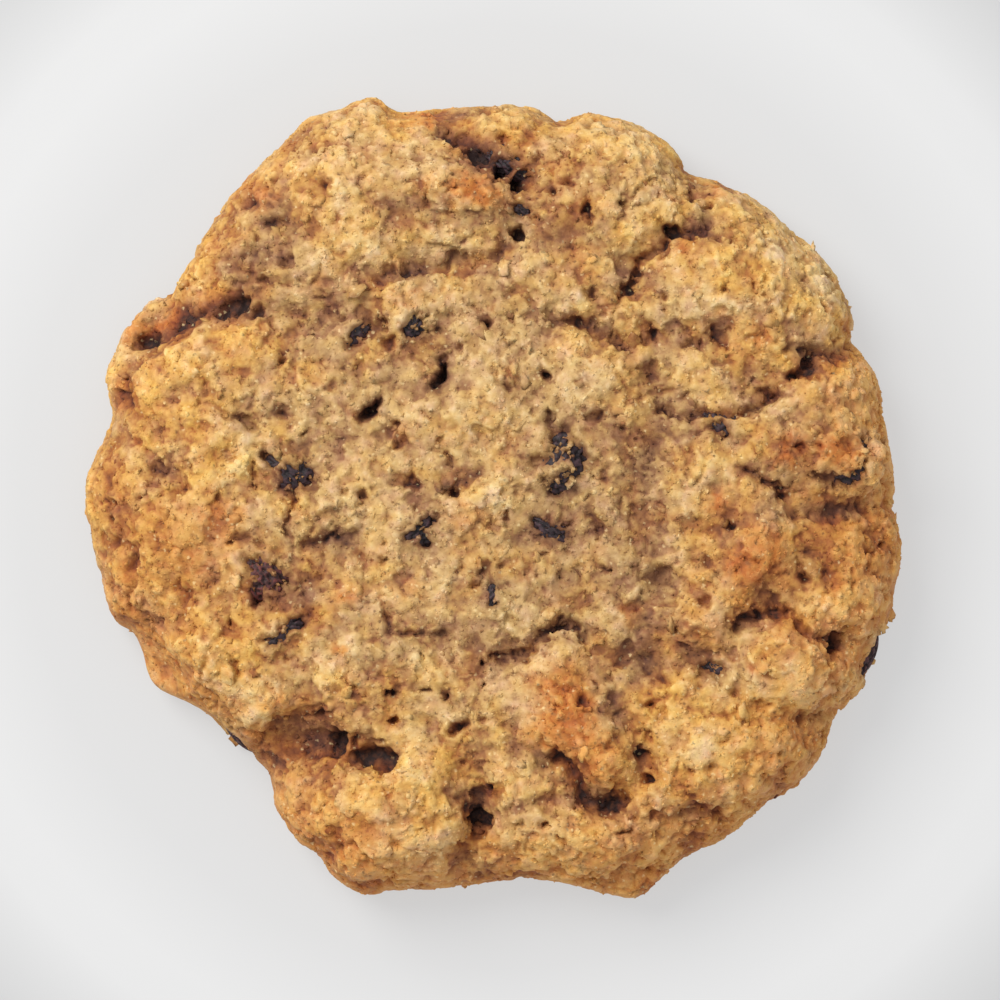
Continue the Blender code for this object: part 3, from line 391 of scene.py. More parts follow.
# Broad rises (+) and sunk, darker areas (-) of the crust: as the holes, with a strength.
UNEVEN = (
    (-24, 23.5, 4, 3, 10, -0.7), (-25.5, 31, 2.2, 1.2, 0, -0.6), (-23, 29, 2.2, 0.9, -5, -0.5),
    (-33, 18.3, 4.2, 1.3, 33, -0.8), (-27, 19.6, 4, 1.2, 5, -0.4), (-22.5, 13.5, 1.6, 3, 0, -0.4),
    (-19, 15, 2, 1.2, 0, -0.4), (-22.8, 8.6, 1.8, 1.4, 0, -0.4), (-11, 15.5, 1.4, 2, 0, -0.5),
    (-8, 11.6, 4, 1, 5, -0.6), (-12, 22, 2, 1.2, 0, -0.4), (-8.5, 24, 3.6, 0.8, 5, -0.4),
    (0, 36, 4.6, 2, -28, -1), (-4, 38, 1.8, 1, 0, -0.4), (7, 28.2, 2.8, 2.2, 20, -0.8),
    (-39.5, -0.5, 1.6, 3.2, 0, -0.5), (-36.5, -4.5, 2.2, 2, 0, -0.5), (-34, 2, 2, 1.2, -20, -0.5),
    (-31, -9.5, 1.8, 1.4, 0, -0.4), (-22.5, -9.5, 3, 2.2, -10, -0.6), (-18, -6.5, 2.8, 2.2, 0, -0.6),
    (-16, -12.5, 2.5, 1.5, -20, -0.3), (-5.5, 1.5, 4.2, 1.3, 5, -0.8), (-16.5, 6, 1.6, 0.8, 0, -0.4),
    (11.3, 4, 1, 5, 0, -0.5), (16.5, 4.5, 1.8, 3.2, 0, -0.6), (6.5, -2.8, 3.4, 1.8, 0, -0.6),
    (13, 12, 1, 1.2, 0, -0.3), (16, -5, 1.6, 2.8, 0, -0.6), (17, -11, 2.8, 2.6, 0, -0.7),
    (14, -16.5, 2.8, 2, 0, -0.6), (20, -15.5, 2.6, 1.4, -35, -0.6), (30, -9.5, 4, 1.6, 10, -0.6),
    (35, -5.5, 2.2, 2.6, 0, -0.5), (35, -2, 3.6, 1, 0, -0.5), (36.5, -16.5, 2.2, 1.6, 0, -0.5),
    (-17, -23.6, 4.2, 2, 0, -0.45), (-11, -18.5, 1.6, 3, 0, -0.5), (-23, -27.5, 2, 1.8, 40, -0.5),
    (13, 23.5, 1.2, 2.4, 0, -0.4), (20, 27, 3, 1.4, 0, -0.5), (35, 14.6, 3, 1.2, 0, -0.7),
    (28, 3.6, 1.6, 1.6, 0, -0.4), (-1.6, -31.6, 1.3, 3, 0, -0.7), (-2.4, -37.8, 1.8, 1.6, 0, -0.5),
    (22, -33.4, 3, 1, 0, -0.5), (29.6, -31, 2.4, 1.4, 30, -0.5), (0, -8, 4, 1.8, 0, -0.3),
    (9, -8, 2.4, 1.8, 0, -0.3), (33, 20, 1.8, 1.2, 0, -0.3), (22, 16.8, 3.4, 1, 0, -0.4),
    (16.5, 35, 4, 2.2, -40, 0.6), (21.5, 33.6, 1.4, 1, 0, 0.4), (31, 26, 3.2, 2.2, -45, 0.4),
    (25.5, 25, 2.6, 2.4, 0, 0.7), (24, 19.4, 2.2, 1, 0, 0.6), (14.5, 27.5, 2, 1.4, 0, 0.5),
    (-20, 33.6, 2.4, 1.6, 0, 0.6), (-10, 34, 2.4, 1.6, 0, 0.4), (-15.5, 25.4, 3.4, 1.4, 5, 0.6),
    (-6, 26.5, 3, 1.2, 5, 0.4), (-9, 20.4, 1.8, 1.6, 0, 0.5), (3, 17, 4, 1.8, 50, 0.4),
    (3, 8.4, 4.4, 1.8, 12, 0.8), (-6.5, 7.4, 1.6, 1.2, 0, 0.4), (1, -1.2, 2, 2.8, 0, 0.8),
    (-20, -1.5, 2.6, 1.6, 0, 0.6), (-27, -6.8, 1.2, 1.6, 0, 0.7), (-9, -1.2, 2, 1.2, 0, 0.4),
    (-34, -14.5, 2.4, 1.8, -40, 0.6), (-25, -16.5, 2.6, 1.8, 0, 0.5), (-30, -20, 2, 1.6, 0, 0.6),
    (-19, -18.5, 2, 1.6, 0, 0.3), (-6.8, -28, 2.6, 2.2, 0, 0.4), (-7.5, -17, 2.2, 1.4, 0, 0.6),
    (1.6, -13.4, 1.2, 1.4, 0, 0.6), (7.6, -16.4, 2, 1.4, 0, 0.4), (14.8, -10, 1, 1, 0, 0.3),
    (8.5, -23.5, 3.4, 5, 35, 0.4), (2.6, -26, 1.6, 1.2, 0, 0.5), (9.5, -35.5, 3.6, 1.6, 0, 0.5),
    (17.5, -37, 2, 1.4, 0, 0.6), (21, -26.5, 4.4, 3, 15, 0.7), (19.2, -19, 1.6, 1.4, 0, 0.5),
    (31.5, -20.5, 3.2, 2, 10, 0.8), (24.5, -15.5, 1.6, 1.4, 0, 0.4), (34, -11.5, 3.4, 1.6, 0, 0.5),
    (39.4, -12, 1.4, 3.4, 0, 0.5), (-7, -36, 2.2, 1.6, 0, 0.4), (-15, -33, 2.4, 1.6, 0, 0.4),
    (16, 9.6, 2, 1.2, 0, 0.4), (-33, 12.5, 2.8, 2.4, 0, 0.3), (-27, 2.8, 2.2, 1.8, 0, 0.5),
    (35, 8, 2.4, 1.6, 0, 0.5), (40.4, 5.5, 1, 3.4, 0, 0.5), (22.5, 3, 2, 1.6, 0, 0.4),
    (-27.5, 24, 1.6, 2.6, 30, -0.6), (-25.5, 33, 1.6, 1.6, 0, -0.4), (-19, 17, 1.8, 1.6, 0, -0.4),
    (-11.5, 13, 1.4, 2.2, 0, -0.4), (-4, 13, 2.4, 1, 10, -0.4), (8, 29, 1.8, 1.6, 0, -0.4),
    (11.3, 7, 1.2, 2, 0, -0.4), (17.2, 6, 1.4, 1.8, 0, -0.4), (-2.6, 2, 1.8, 1.2, 20, -0.5),
    (-18.5, -9.5, 2.2, 1.4, 0, -0.6), (5.5, -4.5, 2.4, 1.2, -10, -0.5), (16, -13.5, 1.6, 3.4, 0, -0.4),
    (-20.5, -27.5, 3, 1.4, -20, -0.5), (10.5, -23.5, 1.4, 1.4, 0, -0.4), (14, -37, 1.2, 2.4, 0, -0.4),
    (31, -22, 3, 1.4, 0, 0.8), (-24, -22, 2.4, 1.6, 20, 0.7), (-25.5, 7, 1.2, 4, 0, 0.6),
    (20.6, 31, 1.4, 1.2, 0, 0.6), (0, -1.6, 1.6, 1.6, 0, 0.5), (-20.5, -3, 1.8, 1.4, 0, 0.5),
    (5.4, -26.4, 2, 1, -20, 0.6), (10, -33.2, 3, 1.2, 0, 0.5), (-9, -37.5, 3, 1.2, 0, 0.7),
    (-2.4, 37.6, 1.2, 1, 0, 0.5), (-20, 31, 1.6, 1.2, 0, 0.4), (8, 22, 2.6, 1.6, -45, 0.4),
    (28, -30, 2, 1.4, 30, 0.5), (17.5, -33, 2.4, 1, 0, 0.4), (-33, -15, 1.8, 2.2, 20, 0.4),
    (-3.4, -30, 1, 1.4, 0, 0.5), (1.4, 12.6, 1.2, 1, 0, 0.5), (32.4, -2.2, 1.2, 1, 0, 0.5),
    (-32.5, 17.5, 3.6, 1, 33, -0.7), (-17.5, 18.5, 2.8, 1.2, 15, -0.5), (18.5, 16.3, 1.6, 1, 0, -0.5),
    (34, 13.6, 2.6, 1.2, 20, -0.6), (22.5, 26.5, 1.6, 1.2, 0, -0.4), (6, 27, 2, 1.4, 0, -0.3),
    (17, 6, 1.6, 1.2, 0, -0.3), (11, 5.5, 1, 2.4, 0, -0.3), (27, 6, 1, 1.6, 0, -0.3),
    (8, -3, 4, 2.4, -10, -0.4), (17, -3, 1.4, 1.6, 0, -0.3), (-22, -11, 3.6, 1.8, -30, -0.4),
    (29.6, -5.6, 1.6, 1.2, 0, -0.4), (32, -13.5, 1.6, 1, -30, -0.4), (16, -18.5, 2.2, 1.4, 0, -0.4),
    (-10, -20, 1, 1.4, 0, -0.4), (-17.5, -27, 2, 1, 0, -0.5), (2, -24, 1.4, 1.6, 0, -0.3),
    (-39.5, -13, 1.4, 1.2, 0, -0.6), (-9, 28, 2.2, 1.2, 60, 0.5), (12, 26, 1.2, 1.4, 0, 0.4),
    (13.5, 12, 1.2, 1, 0, 0.5), (38.5, 12, 1.6, 2.6, 0, 0.6), (1.5, 0.5, 1.4, 2.4, -30, 0.5),
    (-25.5, 3, 1.2, 1.8, 0, 0.5), (31, 7, 1.6, 1.4, 0, 0.5), (14, -11, 2, 1.8, 30, 0.6),
    (1, -14, 1.4, 1.4, 0, 0.4), (38, -11.5, 1.6, 2.6, 0, 0.5), (23.5, -28.5, 2.6, 1.4, 0, 0.6),
    (25.5, -32, 2, 1.4, 30, 0.6), (5, -38, 2.2, 1.2, 0, 0.5), (17.5, -38, 1.6, 1.4, 0, 0.4),
    (13.6, 22.5, 1.6, 2.4, -30, -0.3), (22.5, 26.5, 1.6, 1.2, 0, -0.3), (6, -4.4, 3.6, 1.4, -10, -0.2),
    (15.5, 0, 1.4, 5, 0, -0.4), (-2.2, 2.4, 1.8, 1, 30, -0.4), (-18, -9, 2, 1.4, 0, -0.3),
    (-24.5, -12, 2.4, 1.2, 0, -0.3), (35, 13.6, 1.6, 1, 0, -0.3), (-17.8, -26.4, 1.8, 1.4, 0, -0.6),
    (16.2, -19, 1.6, 1.4, 0, -0.4), (10, -22.8, 1.6, 1.2, 0, -0.4), (-1, -27, 1.2, 1.6, 0, -0.4),
    (5.2, 38, 1.4, 0.8, 0, -0.6), (41, 0, 2, 14, 0, 0.3), (39, -18, 1.6, 3, -30, 0.5),
    (26.5, -31.8, 3, 1.6, 40, 0.4), (12, -39.5, 4, 1, 0, 0.5), (-36.6, -10.8, 1.4, 1.8, 0, 0.5),
    (-22, -21, 2, 1.2, 20, 0.5), (-9, -35.5, 3, 2.4, 0, 0.3), (-2, 37.6, 1.4, 1, 0, 0.5),
    (5.6, 35, 1.2, 1, 0, 0.4), (-24.5, -23, 3, 1.6, 35, 0.6), (-16, -17, 1.6, 1.6, 0, 0.4),
    (-4, -17, 1.6, 1.4, 0, 0.4), (1.2, -14, 1.4, 1.4, 0, 0.4), (14, -1, 0.9, 4, 0, 0.5),
    (18.4, -19.4, 1.4, 1.2, 0, 0.5), (15, -23, 1.2, 3, 20, 0.5), (0, 6, 1.8, 1.4, 0, 0.4),
    (-10, 2.2, 1.6, 1, 0, 0.4), (-25, 3, 1.2, 1.4, 0, 0.4), (35.5, 20, 11, 3, 120, 0.45),
    (39.5, 8, 7, 2.4, 95, 0.4), (34.5, -20, 3, 4, 0, 0.4), (-10, -37.5, 6, 2, 0, 0.35),
    (6, -38, 6, 2, 0, 0.35), (27, -21, 3, 2, 0, 0.3), (-20, -2.6, 1.8, 1.2, 0, 0.3),
    (16, 24, 1.4, 1.6, 0, 0.5), (-19.5, 26, 1.2, 1, 0, -0.5), (-25, 22, 1.8, 1, 0, -0.4),
    (-30, 18.5, 1.2, 1, 0, -0.5), (-17.5, 17.8, 2.4, 1.2, 0, -0.3), (-4, 17.2, 1.4, 1.2, 0, -0.5),
    (-5, 11.5, 3.6, 1, 0, -0.4), (-40.5, 1.5, 1.6, 2, 0, -0.4), (-38.5, -6, 1.4, 3, 0, -0.4),
    (-40, -13.6, 1.4, 1, 0, -0.5), (-36, -1, 3, 1.4, 0, -0.3), (-30, -10, 1.4, 1, 0, -0.4),
    (-1.4, 2.6, 1.6, 1, 30, -0.4), (-4, -5.4, 2.6, 1, 0, -0.4), (0, -11, 1.4, 1.6, 0, -0.4),
    (18, 15.6, 2.4, 1, 0, -0.4), (35, 10, 3.4, 1.2, 20, -0.4), (39.6, 4, 1.4, 1.6, 0, -0.4),
    (26, -9, 3, 1.4, 0, -0.3), (40, -16, 1.2, 1.6, 0, -0.3), (10, -24, 1.6, 1.2, 0, -0.5),
    (7, -26, 1.6, 1, 0, -0.3), (-2, -24, 1.4, 2, 0, -0.3), (-28.5, -19, 1.6, 1.4, 0, 0.4),
    (-21.6, -22, 1.4, 1, 0, 0.4),
)


EYE_HEIGHT, PLAN_LEVEL = 447, 2.8  # mm: the plan's eye over the level where it is true to size


def plan(points):
    """The points as on a plan drawn from above, where what stands higher lies further out."""
    larger = 1 + (points[:, 2] - PLAN_LEVEL) / EYE_HEIGHT
    return points * np.stack([larger, larger, np.ones(len(points))], 1)


# All in mm. Roughness pushes the points about, so that edges are ragged.
seen = points_of(dough)
facing = normals_of(dough)
on_crust = ramp(seen[:, 2], 0.4, 2.0)
upward = ramp(facing[:, 2], -0.2, 0.4)
roughness = np.stack(
    [0.5 * noise(seen, 2.1, 20 + k) + 0.35 * noise(seen, 0.8, 30 + k) for k in range(3)], 1
)
ragged = seen + roughness
torn = plan(seen) + 0.7 * roughness
torn += np.stack([0.35 * noise(seen, 0.6, 50 + k) for k in range(3)], 1)
warped = seen + np.stack([1.0 * fractal(seen, 3.0, 40 + k, 3) for k in range(3)], 1)

# The crumb: plates of crust, chips, domes and beads, with crevices and pores between them.
domes = crumbs(warped, 2.6, 60)[0]
beads = crumbs(seen + 0.5 * (warped - seen), 1.0, 70)[0]
plates = ramp(fractal(ragged, 6.0, 80, 5, 0.6), -0.32, 0.06)
chips = ramp(fractal(ragged, 2.4, 90, 4, 0.6), -0.40, 0.0)
gap = crumbs(seen + 0.6 * (warped - seen) + 0.5 * roughness, 3.2, 65)[1]
crevices = ramp(gap, 0.16, 0.02) * ramp(fractal(seen, 4.0, 68, 3), -0.05, 0.3)
near_pore, _, which = crumbs(ragged, 2.1, 95)
pores = (which > 0.77) * ramp(near_pore, 0.72, 0.90)
relief = (
    0.32 * (plates - 0.7) + 0.32 * (chips - 0.8) + 0.32 * (domes - 0.55) + 0.19 * (beads - 0.55)
    + 0.12 * fractal(seen, 1.3, 100, 3, 0.7) - 0.65 * pores - 0.42 * crevices
)

# Cracks and holes are cut in, gaps bare the raisins, and broad areas stand up or sink.
cut = np.zeros(len(seen))
for half_width, depth, path in CRACKS:
    cut = np.maximum(cut, depth * np.exp(-((path_distance(torn, path) / half_width) ** 2)))
for *oval, depth in HOLES:
    cut = np.maximum(cut, depth * np.exp(-(oval_distance(torn, *oval) ** 3)))
bared = np.zeros(len(seen))
for half_width, path in RAISIN_GAPS:
    bared = np.maximum(bared, np.exp(-((path_distance(torn, path) / half_width) ** 4)))
bared *= ramp(fractal(seen, 1.2, 120, 3, 0.7), -0.65, -0.35)
broad = np.zeros(len(seen))
for *oval, amount in UNEVEN:
    broad += amount * np.exp(-(oval_distance(plan(warped), *oval) ** 2))
broad *= on_crust

# One low, smoother stretch of the wall, where the dough ran out in a thin foot.
FOOT = ((-37.6, -14.5), (-36.4, -19.6), (-30.3, -23.2), (-27.5, -26.2), (-24.5, -28.6))
FOOT_REACH, FOOT_TOP = 3.2, 7.5
foot = np.exp(-((path_distance(plan(seen), FOOT) / FOOT_REACH) ** 6))
foot *= ramp(FOOT_TOP - seen[:, 2], 0, 2)
relief *= (1 - 0.8 * foot) * on_crust * (0.35 + 0.5 * upward)
relief_all = relief + (0.42 * broad - 0.72 * cut) * upward - 1.1 * bared * (0.4 + 0.6 * upward)

# The underside, flat from the tray, has only pits and shallow hollows.
under = ramp(-facing[:, 2], 0.7, 0.95) * ramp(seen[:, 2], 0.5, 0.1)
near_pit, _, which = crumbs(ragged, 2.6, 140)
relief_all -= under * (0.55 * (which > 0.6) * ramp(near_pit, 0.62, 0.85)
                       + 0.22 * ramp(fractal(ragged, 5.0, 145, 3), 0.0, 0.35))
move_points(dough, seen + facing * relief_all[:, None])
dough.data.shade_smooth()

# How high each point stands in the crumb, from 0 in a pit to 1 on a tip: the colour follows it.
# So pits, cracks and holes come out darker and tips and bulges paler. That is partly the crumb's
# own colour and partly painted shade and painted light.
height = (0.641 + 0.32 * relief_all + 0.19 * broad + 0.18 * get_attribute(dough, "swell")
          + (0.12 * (chips - 0.8) + 0.09 * (plates - 0.7)) * on_crust - 0.04 * cut * upward).clip(0, 1)
set_attribute(dough, "height", height)
set_attribute(dough, "tone", 0.02 * foot)


def patches(points, ovals):
    """How strongly each point lies in these ragged patches, from 0 to 1."""
    loose = plan(points) + np.stack([0.8 * fractal(points, 1.8, 110 + k, 3) for k in range(3)], 1)
    strength = np.zeros(len(points))
    for *oval, most in ovals:
        strength = np.maximum(strength, most * np.exp(-(oval_distance(loose, *oval) ** 3)))
    return strength


def paint(obj):
    """Gives a piece its toasted patches with painted rim shade, pale middle and stains as attributes.

    The rim is browned at the lower left and along most of the right, the side away from the lamp,
    and this browning is painted shade. None of the top's marks reach the underside, which the tray
    browned.
    """
    points = points_of(obj)
    # Painted shade: the rim browns only on the side away from the lamp.
    rim_shade = ramp(np.hypot(points[:, 0], points[:, 1]), 30, 41)
    rim_shade *= ramp(np.where(points[:, 0] > 0, 20, -2) - points[:, 1], 0, 12)
    above, below = ramp(points[:, 2], 0.3, 2.5), ramp(points[:, 2], 1.6, 0.2)
    toast_and_rim_shade = np.maximum(patches(points, TOASTED), 0.65 * rim_shade) * above
    tray = np.clip(0.62 + 0.35 * fractal(points, 12.0, 130, 4), 0.2, 1) * below
    set_attribute(obj, "toast_and_rim_shade", np.maximum(toast_and_rim_shade, tray))
    middle = np.maximum(ramp(np.hypot(points[:, 0] - 2, points[:, 1] - 4), 38, 6),
                        0.8 * ramp(np.hypot(points[:, 0] + 14, points[:, 1] - 25), 22, 4))
    set_attribute(obj, "pale", 0.7 * middle * above - 0.15)
    by_raisin = np.zeros(len(points))
    for half_width, path in RAISIN_GAPS:
        away = path_distance(plan(points), path) - half_width
        by_raisin = np.maximum(by_raisin, 0.6 * ramp(-away, -1.2, 0.2))
    set_attribute(obj, "stain", np.maximum(patches(points, STAINED), by_raisin) * above)


paint(dough)


# The crumb's material. Its helper functions also serve the raisins' skin and the floor.
def colour(hex_code):
    """A linear colour from its sRGB hex code."""
    channels = [int(hex_code[k:k + 2], 16) / 255 for k in (1, 3, 5)]
    return [c / 12.92 if c <= 0.04045 else ((c + 0.055) / 1.055) ** 2.4 for c in channels] + [1]


def add_node(tree, kind, inputs=None, **settings):
    """Adds a shader node of this kind, sets its properties, and fills or links its inputs."""
    node = tree.nodes.new("ShaderNode" + kind)
    for key, value in settings.items():
        setattr(node, key, value)
    for key, value in (inputs or {}).items():
        if isinstance(value, bpy.types.NodeSocket):
            tree.links.new(value, node.inputs[key])
        else:
            node.inputs[key].default_value = value
    return node


def set_stops(node, stops):
    """Gives a Color Ramp its stops, as (place, hex colour)."""
    band = node.color_ramp
    while len(band.elements) < len(stops):
        band.elements.new(0.5)
    for element, (place, code) in zip(band.elements, stops):
        element.position = place
        element.color = colour(code)


def crumb_material(name):
    """Baked oat crumb, matt and porous: pale gold tips, dark brown pits and a sugary grit.

    Colour follows the height of the skin: the dark brown of the pits is partly painted shade and
    the pale gold of the tips partly painted light. Each grit grain darkens towards its edge, which is
    painted shade between grains. Browning, juice stains, flecks, soft tints and a few pale and dark
    grains lie over it. Sizes in mm: grains 0.5 and 0.8, mottling 0.3 to 9.
    """
    made = bpy.data.materials.new(name)
    made.use_nodes = True
    tree = made.node_tree
    shader = tree.nodes["Principled BSDF"]
    place = add_node(tree, "TexCoord").outputs["Object"]
    marks = {
        key: add_node(tree, "Attribute", attribute_name=key).outputs["Fac"]
        for key in ("height", "tone", "toast_and_rim_shade", "stain", "pale")
    }
    grains = {
        size: add_node(
            tree, "TexNoise", {"Vector": place, "Scale": 1 / (size * MM), "Detail": 4}
        )
        for size in (0.3, 0.9, 3.5, 9.0)
    }
    # Painted shade and light: the colour level follows the skin's height, dark in pits and pale on
    # tips.
    level = add_node(tree, "Math", {0: marks["height"], 1: marks["tone"]}, operation="ADD").outputs[0]
    for size, share in ((0.9, 0.24), (0.3, 0.18)):
        level = add_node(
            tree, "Math", {0: grains[size].outputs["Fac"], 1: share, 2: level},
            operation="MULTIPLY_ADD",
        ).outputs[0]
    level = add_node(tree, "Math", {0: level, 1: 0.205}, operation="SUBTRACT").outputs[0]
    shifted = add_node(
        tree, "VectorMath",
        {0: grains[0.3].outputs["Color"], 1: (0.5 * MM,) * 3, 2: place}, operation="MULTIPLY_ADD",
    ).outputs[0]
    grit_and_shade = add_node(tree, "TexVoronoi", {"Vector": shifted, "Scale": 1 / (0.8 * MM)})
    # Painted shade: the colour darkens towards the edge of each 0.8 mm grit grain, as shade between
    # grains.
    level = add_node(
        tree, "Math", {0: grit_and_shade.outputs["Distance"], 1: -0.27, 2: level},
        operation="MULTIPLY_ADD",
    ).outputs[0]
    level = add_node(tree, "Math", {0: level, 1: 0.149}, operation="ADD").outputs[0]
    golden = add_node(tree, "ValToRGB", {"Fac": level})
    set_stops(golden, [(0, "#2e1008"), (0.14, "#6e3312"), (0.38, "#aa662d"), (0.58, "#cd944a"),
                       (0.76, "#e3af5f"), (1, "#f6cf88")])
    greyer = add_node(tree, "ValToRGB", {"Fac": level})
    set_stops(greyer, [(0, "#2a110b"), (0.14, "#643824"), (0.38, "#9e704a"), (0.58, "#c09765"),
                       (0.76, "#dab37f"), (1, "#f1d3a6")])
    blotch = add_node(
        tree, "Math", {0: grains[3.5].outputs["Fac"], 1: grains[9.0].outputs["Fac"]},
        operation="ADD",
    ).outputs[0]
    blotch = add_node(
        tree, "MapRange", {"Value": blotch, "From Min": 0.82, "From Max": 1.18}
    ).outputs["Result"]
    paler = add_node(
        tree, "Math", {0: blotch, 1: marks["pale"]}, operation="ADD", use_clamp=True
    ).outputs[0]
    base = add_node(
        tree, "Mix",
        {"Factor": paler, 6: golden.outputs["Color"], 7: greyer.outputs["Color"]}, data_type="RGBA",
    ).outputs[2]
    brown = add_node(tree, "ValToRGB", {"Fac": level})
    set_stops(brown, [(0, "#2e0c05"), (0.3, "#7f370f"), (0.6, "#c0702f"), (1, "#e7a75c")])
    # Browning mixes in from the toasted patches, the tray and the painted rim shade.
    browning_and_rim_shade = add_node(
        tree, "Math", {0: marks["toast_and_rim_shade"], 1: grains[0.9].outputs["Fac"]},
        operation="MULTIPLY",
    ).outputs[0]
    browning_and_rim_shade = add_node(tree, "Math", {0: browning_and_rim_shade, 1: 2.1}, operation="MULTIPLY", use_clamp=True)
    base = add_node(
        tree, "Mix", {"Factor": browning_and_rim_shade.outputs[0], 6: base, 7: brown.outputs["Color"]},
        data_type="RGBA",
    ).outputs[2]
    purple = add_node(tree, "ValToRGB", {"Fac": level})
    set_stops(purple, [(0, "#220d08"), (0.3, "#5c3826"), (0.6, "#906a4a"), (1, "#c09f76")])
    stained = add_node(tree, "Math", {0: marks["stain"], 1: 0.8}, operation="MULTIPLY")
    base = add_node(
        tree, "Mix", {"Factor": stained.outputs[0], 6: base, 7: purple.outputs["Color"]},
        data_type="RGBA",
    ).outputs[2]
    fleck = add_node(
        tree, "MapRange",
        {"Value": grains[0.9].outputs["Fac"], "From Min": 0.42, "From Max": 0.3, "To Max": 0.45},
    ).outputs["Result"]
    base = add_node(
        tree, "Mix", {"Factor": fleck, 6: base, 7: colour("#7c4826")}, data_type="RGBA"
    ).outputs[2]
    tint = add_node(tree, "TexNoise", {"Vector": place, "Scale": 1 / (1.6 * MM), "Detail": 2})
    tinted = add_node(tree, "ValToRGB", {"Fac": tint.outputs["Fac"]})
    set_stops(tinted, [(0.3, "#f0efd4"), (0.5, "#f0efe3"), (0.7, "#f0e9f1")])
    base = add_node(
        tree, "Mix", {"Factor": 1, 6: base, 7: tinted.outputs["Color"]},
        data_type="RGBA", blend_type="MULTIPLY",
    ).outputs[2]
    cells = add_node(tree, "TexVoronoi", {"Vector": shifted, "Scale": 1 / (0.5 * MM)})
    parts = add_node(tree, "SeparateColor", {"Color": cells.outputs["Color"]})
    inside = add_node(
        tree, "MapRange",
        {"Value": cells.outputs["Distance"], "From Min": 0.45, "From Max": 0.15},
    ).outputs["Result"]
    for channel, rare, code, most in (("Red", 0.93, "#f6dba0", 0.45), ("Green", 0.93, "#4a2a16", 0.6)):
        chosen = add_node(
            tree, "Math", {0: parts.outputs[channel], 1: rare}, operation="GREATER_THAN"
        ).outputs[0]
        mark = add_node(tree, "Math", {0: chosen, 1: inside}, operation="MULTIPLY").outputs[0]
        mark = add_node(tree, "Math", {0: mark, 1: most}, operation="MULTIPLY").outputs[0]
        base = add_node(
            tree, "Mix", {"Factor": mark, 6: base, 7: colour(code)}, data_type="RGBA"
        ).outputs[2]
    tree.links.new(base, shader.inputs["Base Color"])
    shader.inputs["Roughness"].default_value = 0.8
    grain_heights = add_node(
        tree, "Math", {0: grit_and_shade.outputs["Distance"], 1: -1.2, 2: grains[0.3].outputs["Fac"]},
        operation="MULTIPLY_ADD",
    ).outputs[0]
    bump = add_node(tree, "Bump", {"Height": grain_heights, "Strength": 0.55, "Distance": 0.12 * MM})
    tree.links.new(bump.outputs["Normal"], shader.inputs["Normal"])
    return made


baked_crumb = crumb_material("baked_oat_crumb")
dough.data.materials.append(baked_crumb)
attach(dough, "root")
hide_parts("cookie_dough")


# The crumbs. Bits of oat and dough that stand off the skin or have come loose and baked on.
# They are small irregular lumps, more than half sunk, joined into one piece for each size.
def triangles_of(obj):
    """The piece's corner numbers, in threes."""
    obj.data.calc_loop_triangles()
    corners = np.empty(len(obj.data.loop_triangles) * 3, np.int32)
    obj.data.loop_triangles.foreach_get("vertices", corners)
    return corners.reshape(-1, 3)


def scatter(count, likely, seed):
    """Places on the dough, drawn by how likely each is: positions, directions out and heights."""
    draw = np.random.default_rng(seed)
    corners = triangles_of(dough)
    points, normals, heights = points_of(dough), normals_of(dough), get_attribute(dough, "height")
    a, b, c = (points[corners[:, k]] for k in range(3))
    share = np.linalg.norm(np.cross(b - a, c - a), axis=1) * likely[corners].mean(1)
    chosen = corners[draw.choice(len(corners), count, p=share / share.sum())]
    mix = draw.dirichlet((1, 1, 1), count)
    blend = lambda values: np.einsum("nk,nk...->n...", mix, values[chosen])
    outward = blend(normals)
    return blend(points), outward / np.linalg.norm(outward, axis=1)[:, None], blend(heights)


def joined_bits(shape, places, outward, heights, sizes, flatness, sunk, uneven, seed):
    """Turns one lump into a mesh of many, each uneven and set into the dough, flat side out."""
    draw = np.random.default_rng(seed)
    lump, faces, count = points_of(shape) * MM, triangles_of(shape), len(places)
    bumps = 1 + uneven * draw.normal(size=(count, len(lump), 1)).clip(-1.6, 1.6)
    stretch = np.stack([draw.uniform(0.8, 1.3, count), draw.uniform(0.7, 1.1, count),
                        draw.uniform(0.75, 1.15, count) * flatness], 1)
    lumps = lump[None] * bumps * stretch[:, None]
    tilted = outward + 1.2 * uneven * draw.normal(size=(count, 3))
    tilted /= np.linalg.norm(tilted, axis=1)[:, None]
    side = np.cross(tilted, draw.normal(size=(count, 3)))
    side /= np.linalg.norm(side, axis=1)[:, None]
    turn = np.stack([side, np.cross(tilted, side), tilted], 2)
    lumps = np.einsum("nij,nvj->nvi", turn, lumps * sizes[:, None, None] / 2)
    lumps += (places - outward * (sunk * sizes * flatness / 2)[:, None])[:, None]
    all_faces = (faces[None] + len(lump) * np.arange(count)[:, None, None]).reshape(-1, 3)
    shape.data.clear_geometry()
    shape.data.from_pydata((lumps.reshape(-1, 3) * MM).tolist(), [], all_faces.tolist())
    if flatness < 0.7:
        shape.data.shade_smooth()
    each = len(lump)
    set_attribute(shape, "height", np.repeat(heights, each))
    set_attribute(shape, "tone", np.repeat(draw.normal(0, 0.07, count), each))
    paint(shape)
    shape.data.materials.append(baked_crumb)
    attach(shape, "root")


def ball(name, roundness):
    """A ball to shape lumps from: an octahedron, or an icosphere of 20 or 80 faces."""
    bpy.ops.object.select_all(action="DESELECT")
    if roundness:
        bpy.ops.mesh.primitive_ico_sphere_add(subdivisions=roundness, radius=1)
    else:
        bpy.ops.mesh.primitive_cone_add(
            vertices=4, radius1=1, depth=1, end_fill_type="NOTHING", location=(0, 0, 0.5)
        )
        bpy.ops.object.transform_apply()
    made = bpy.context.active_object
    if not roundness:
        apply_modifier(made, "MIRROR", use_axis=(False, False, True))
    made.name = made.data.name = name
    return made


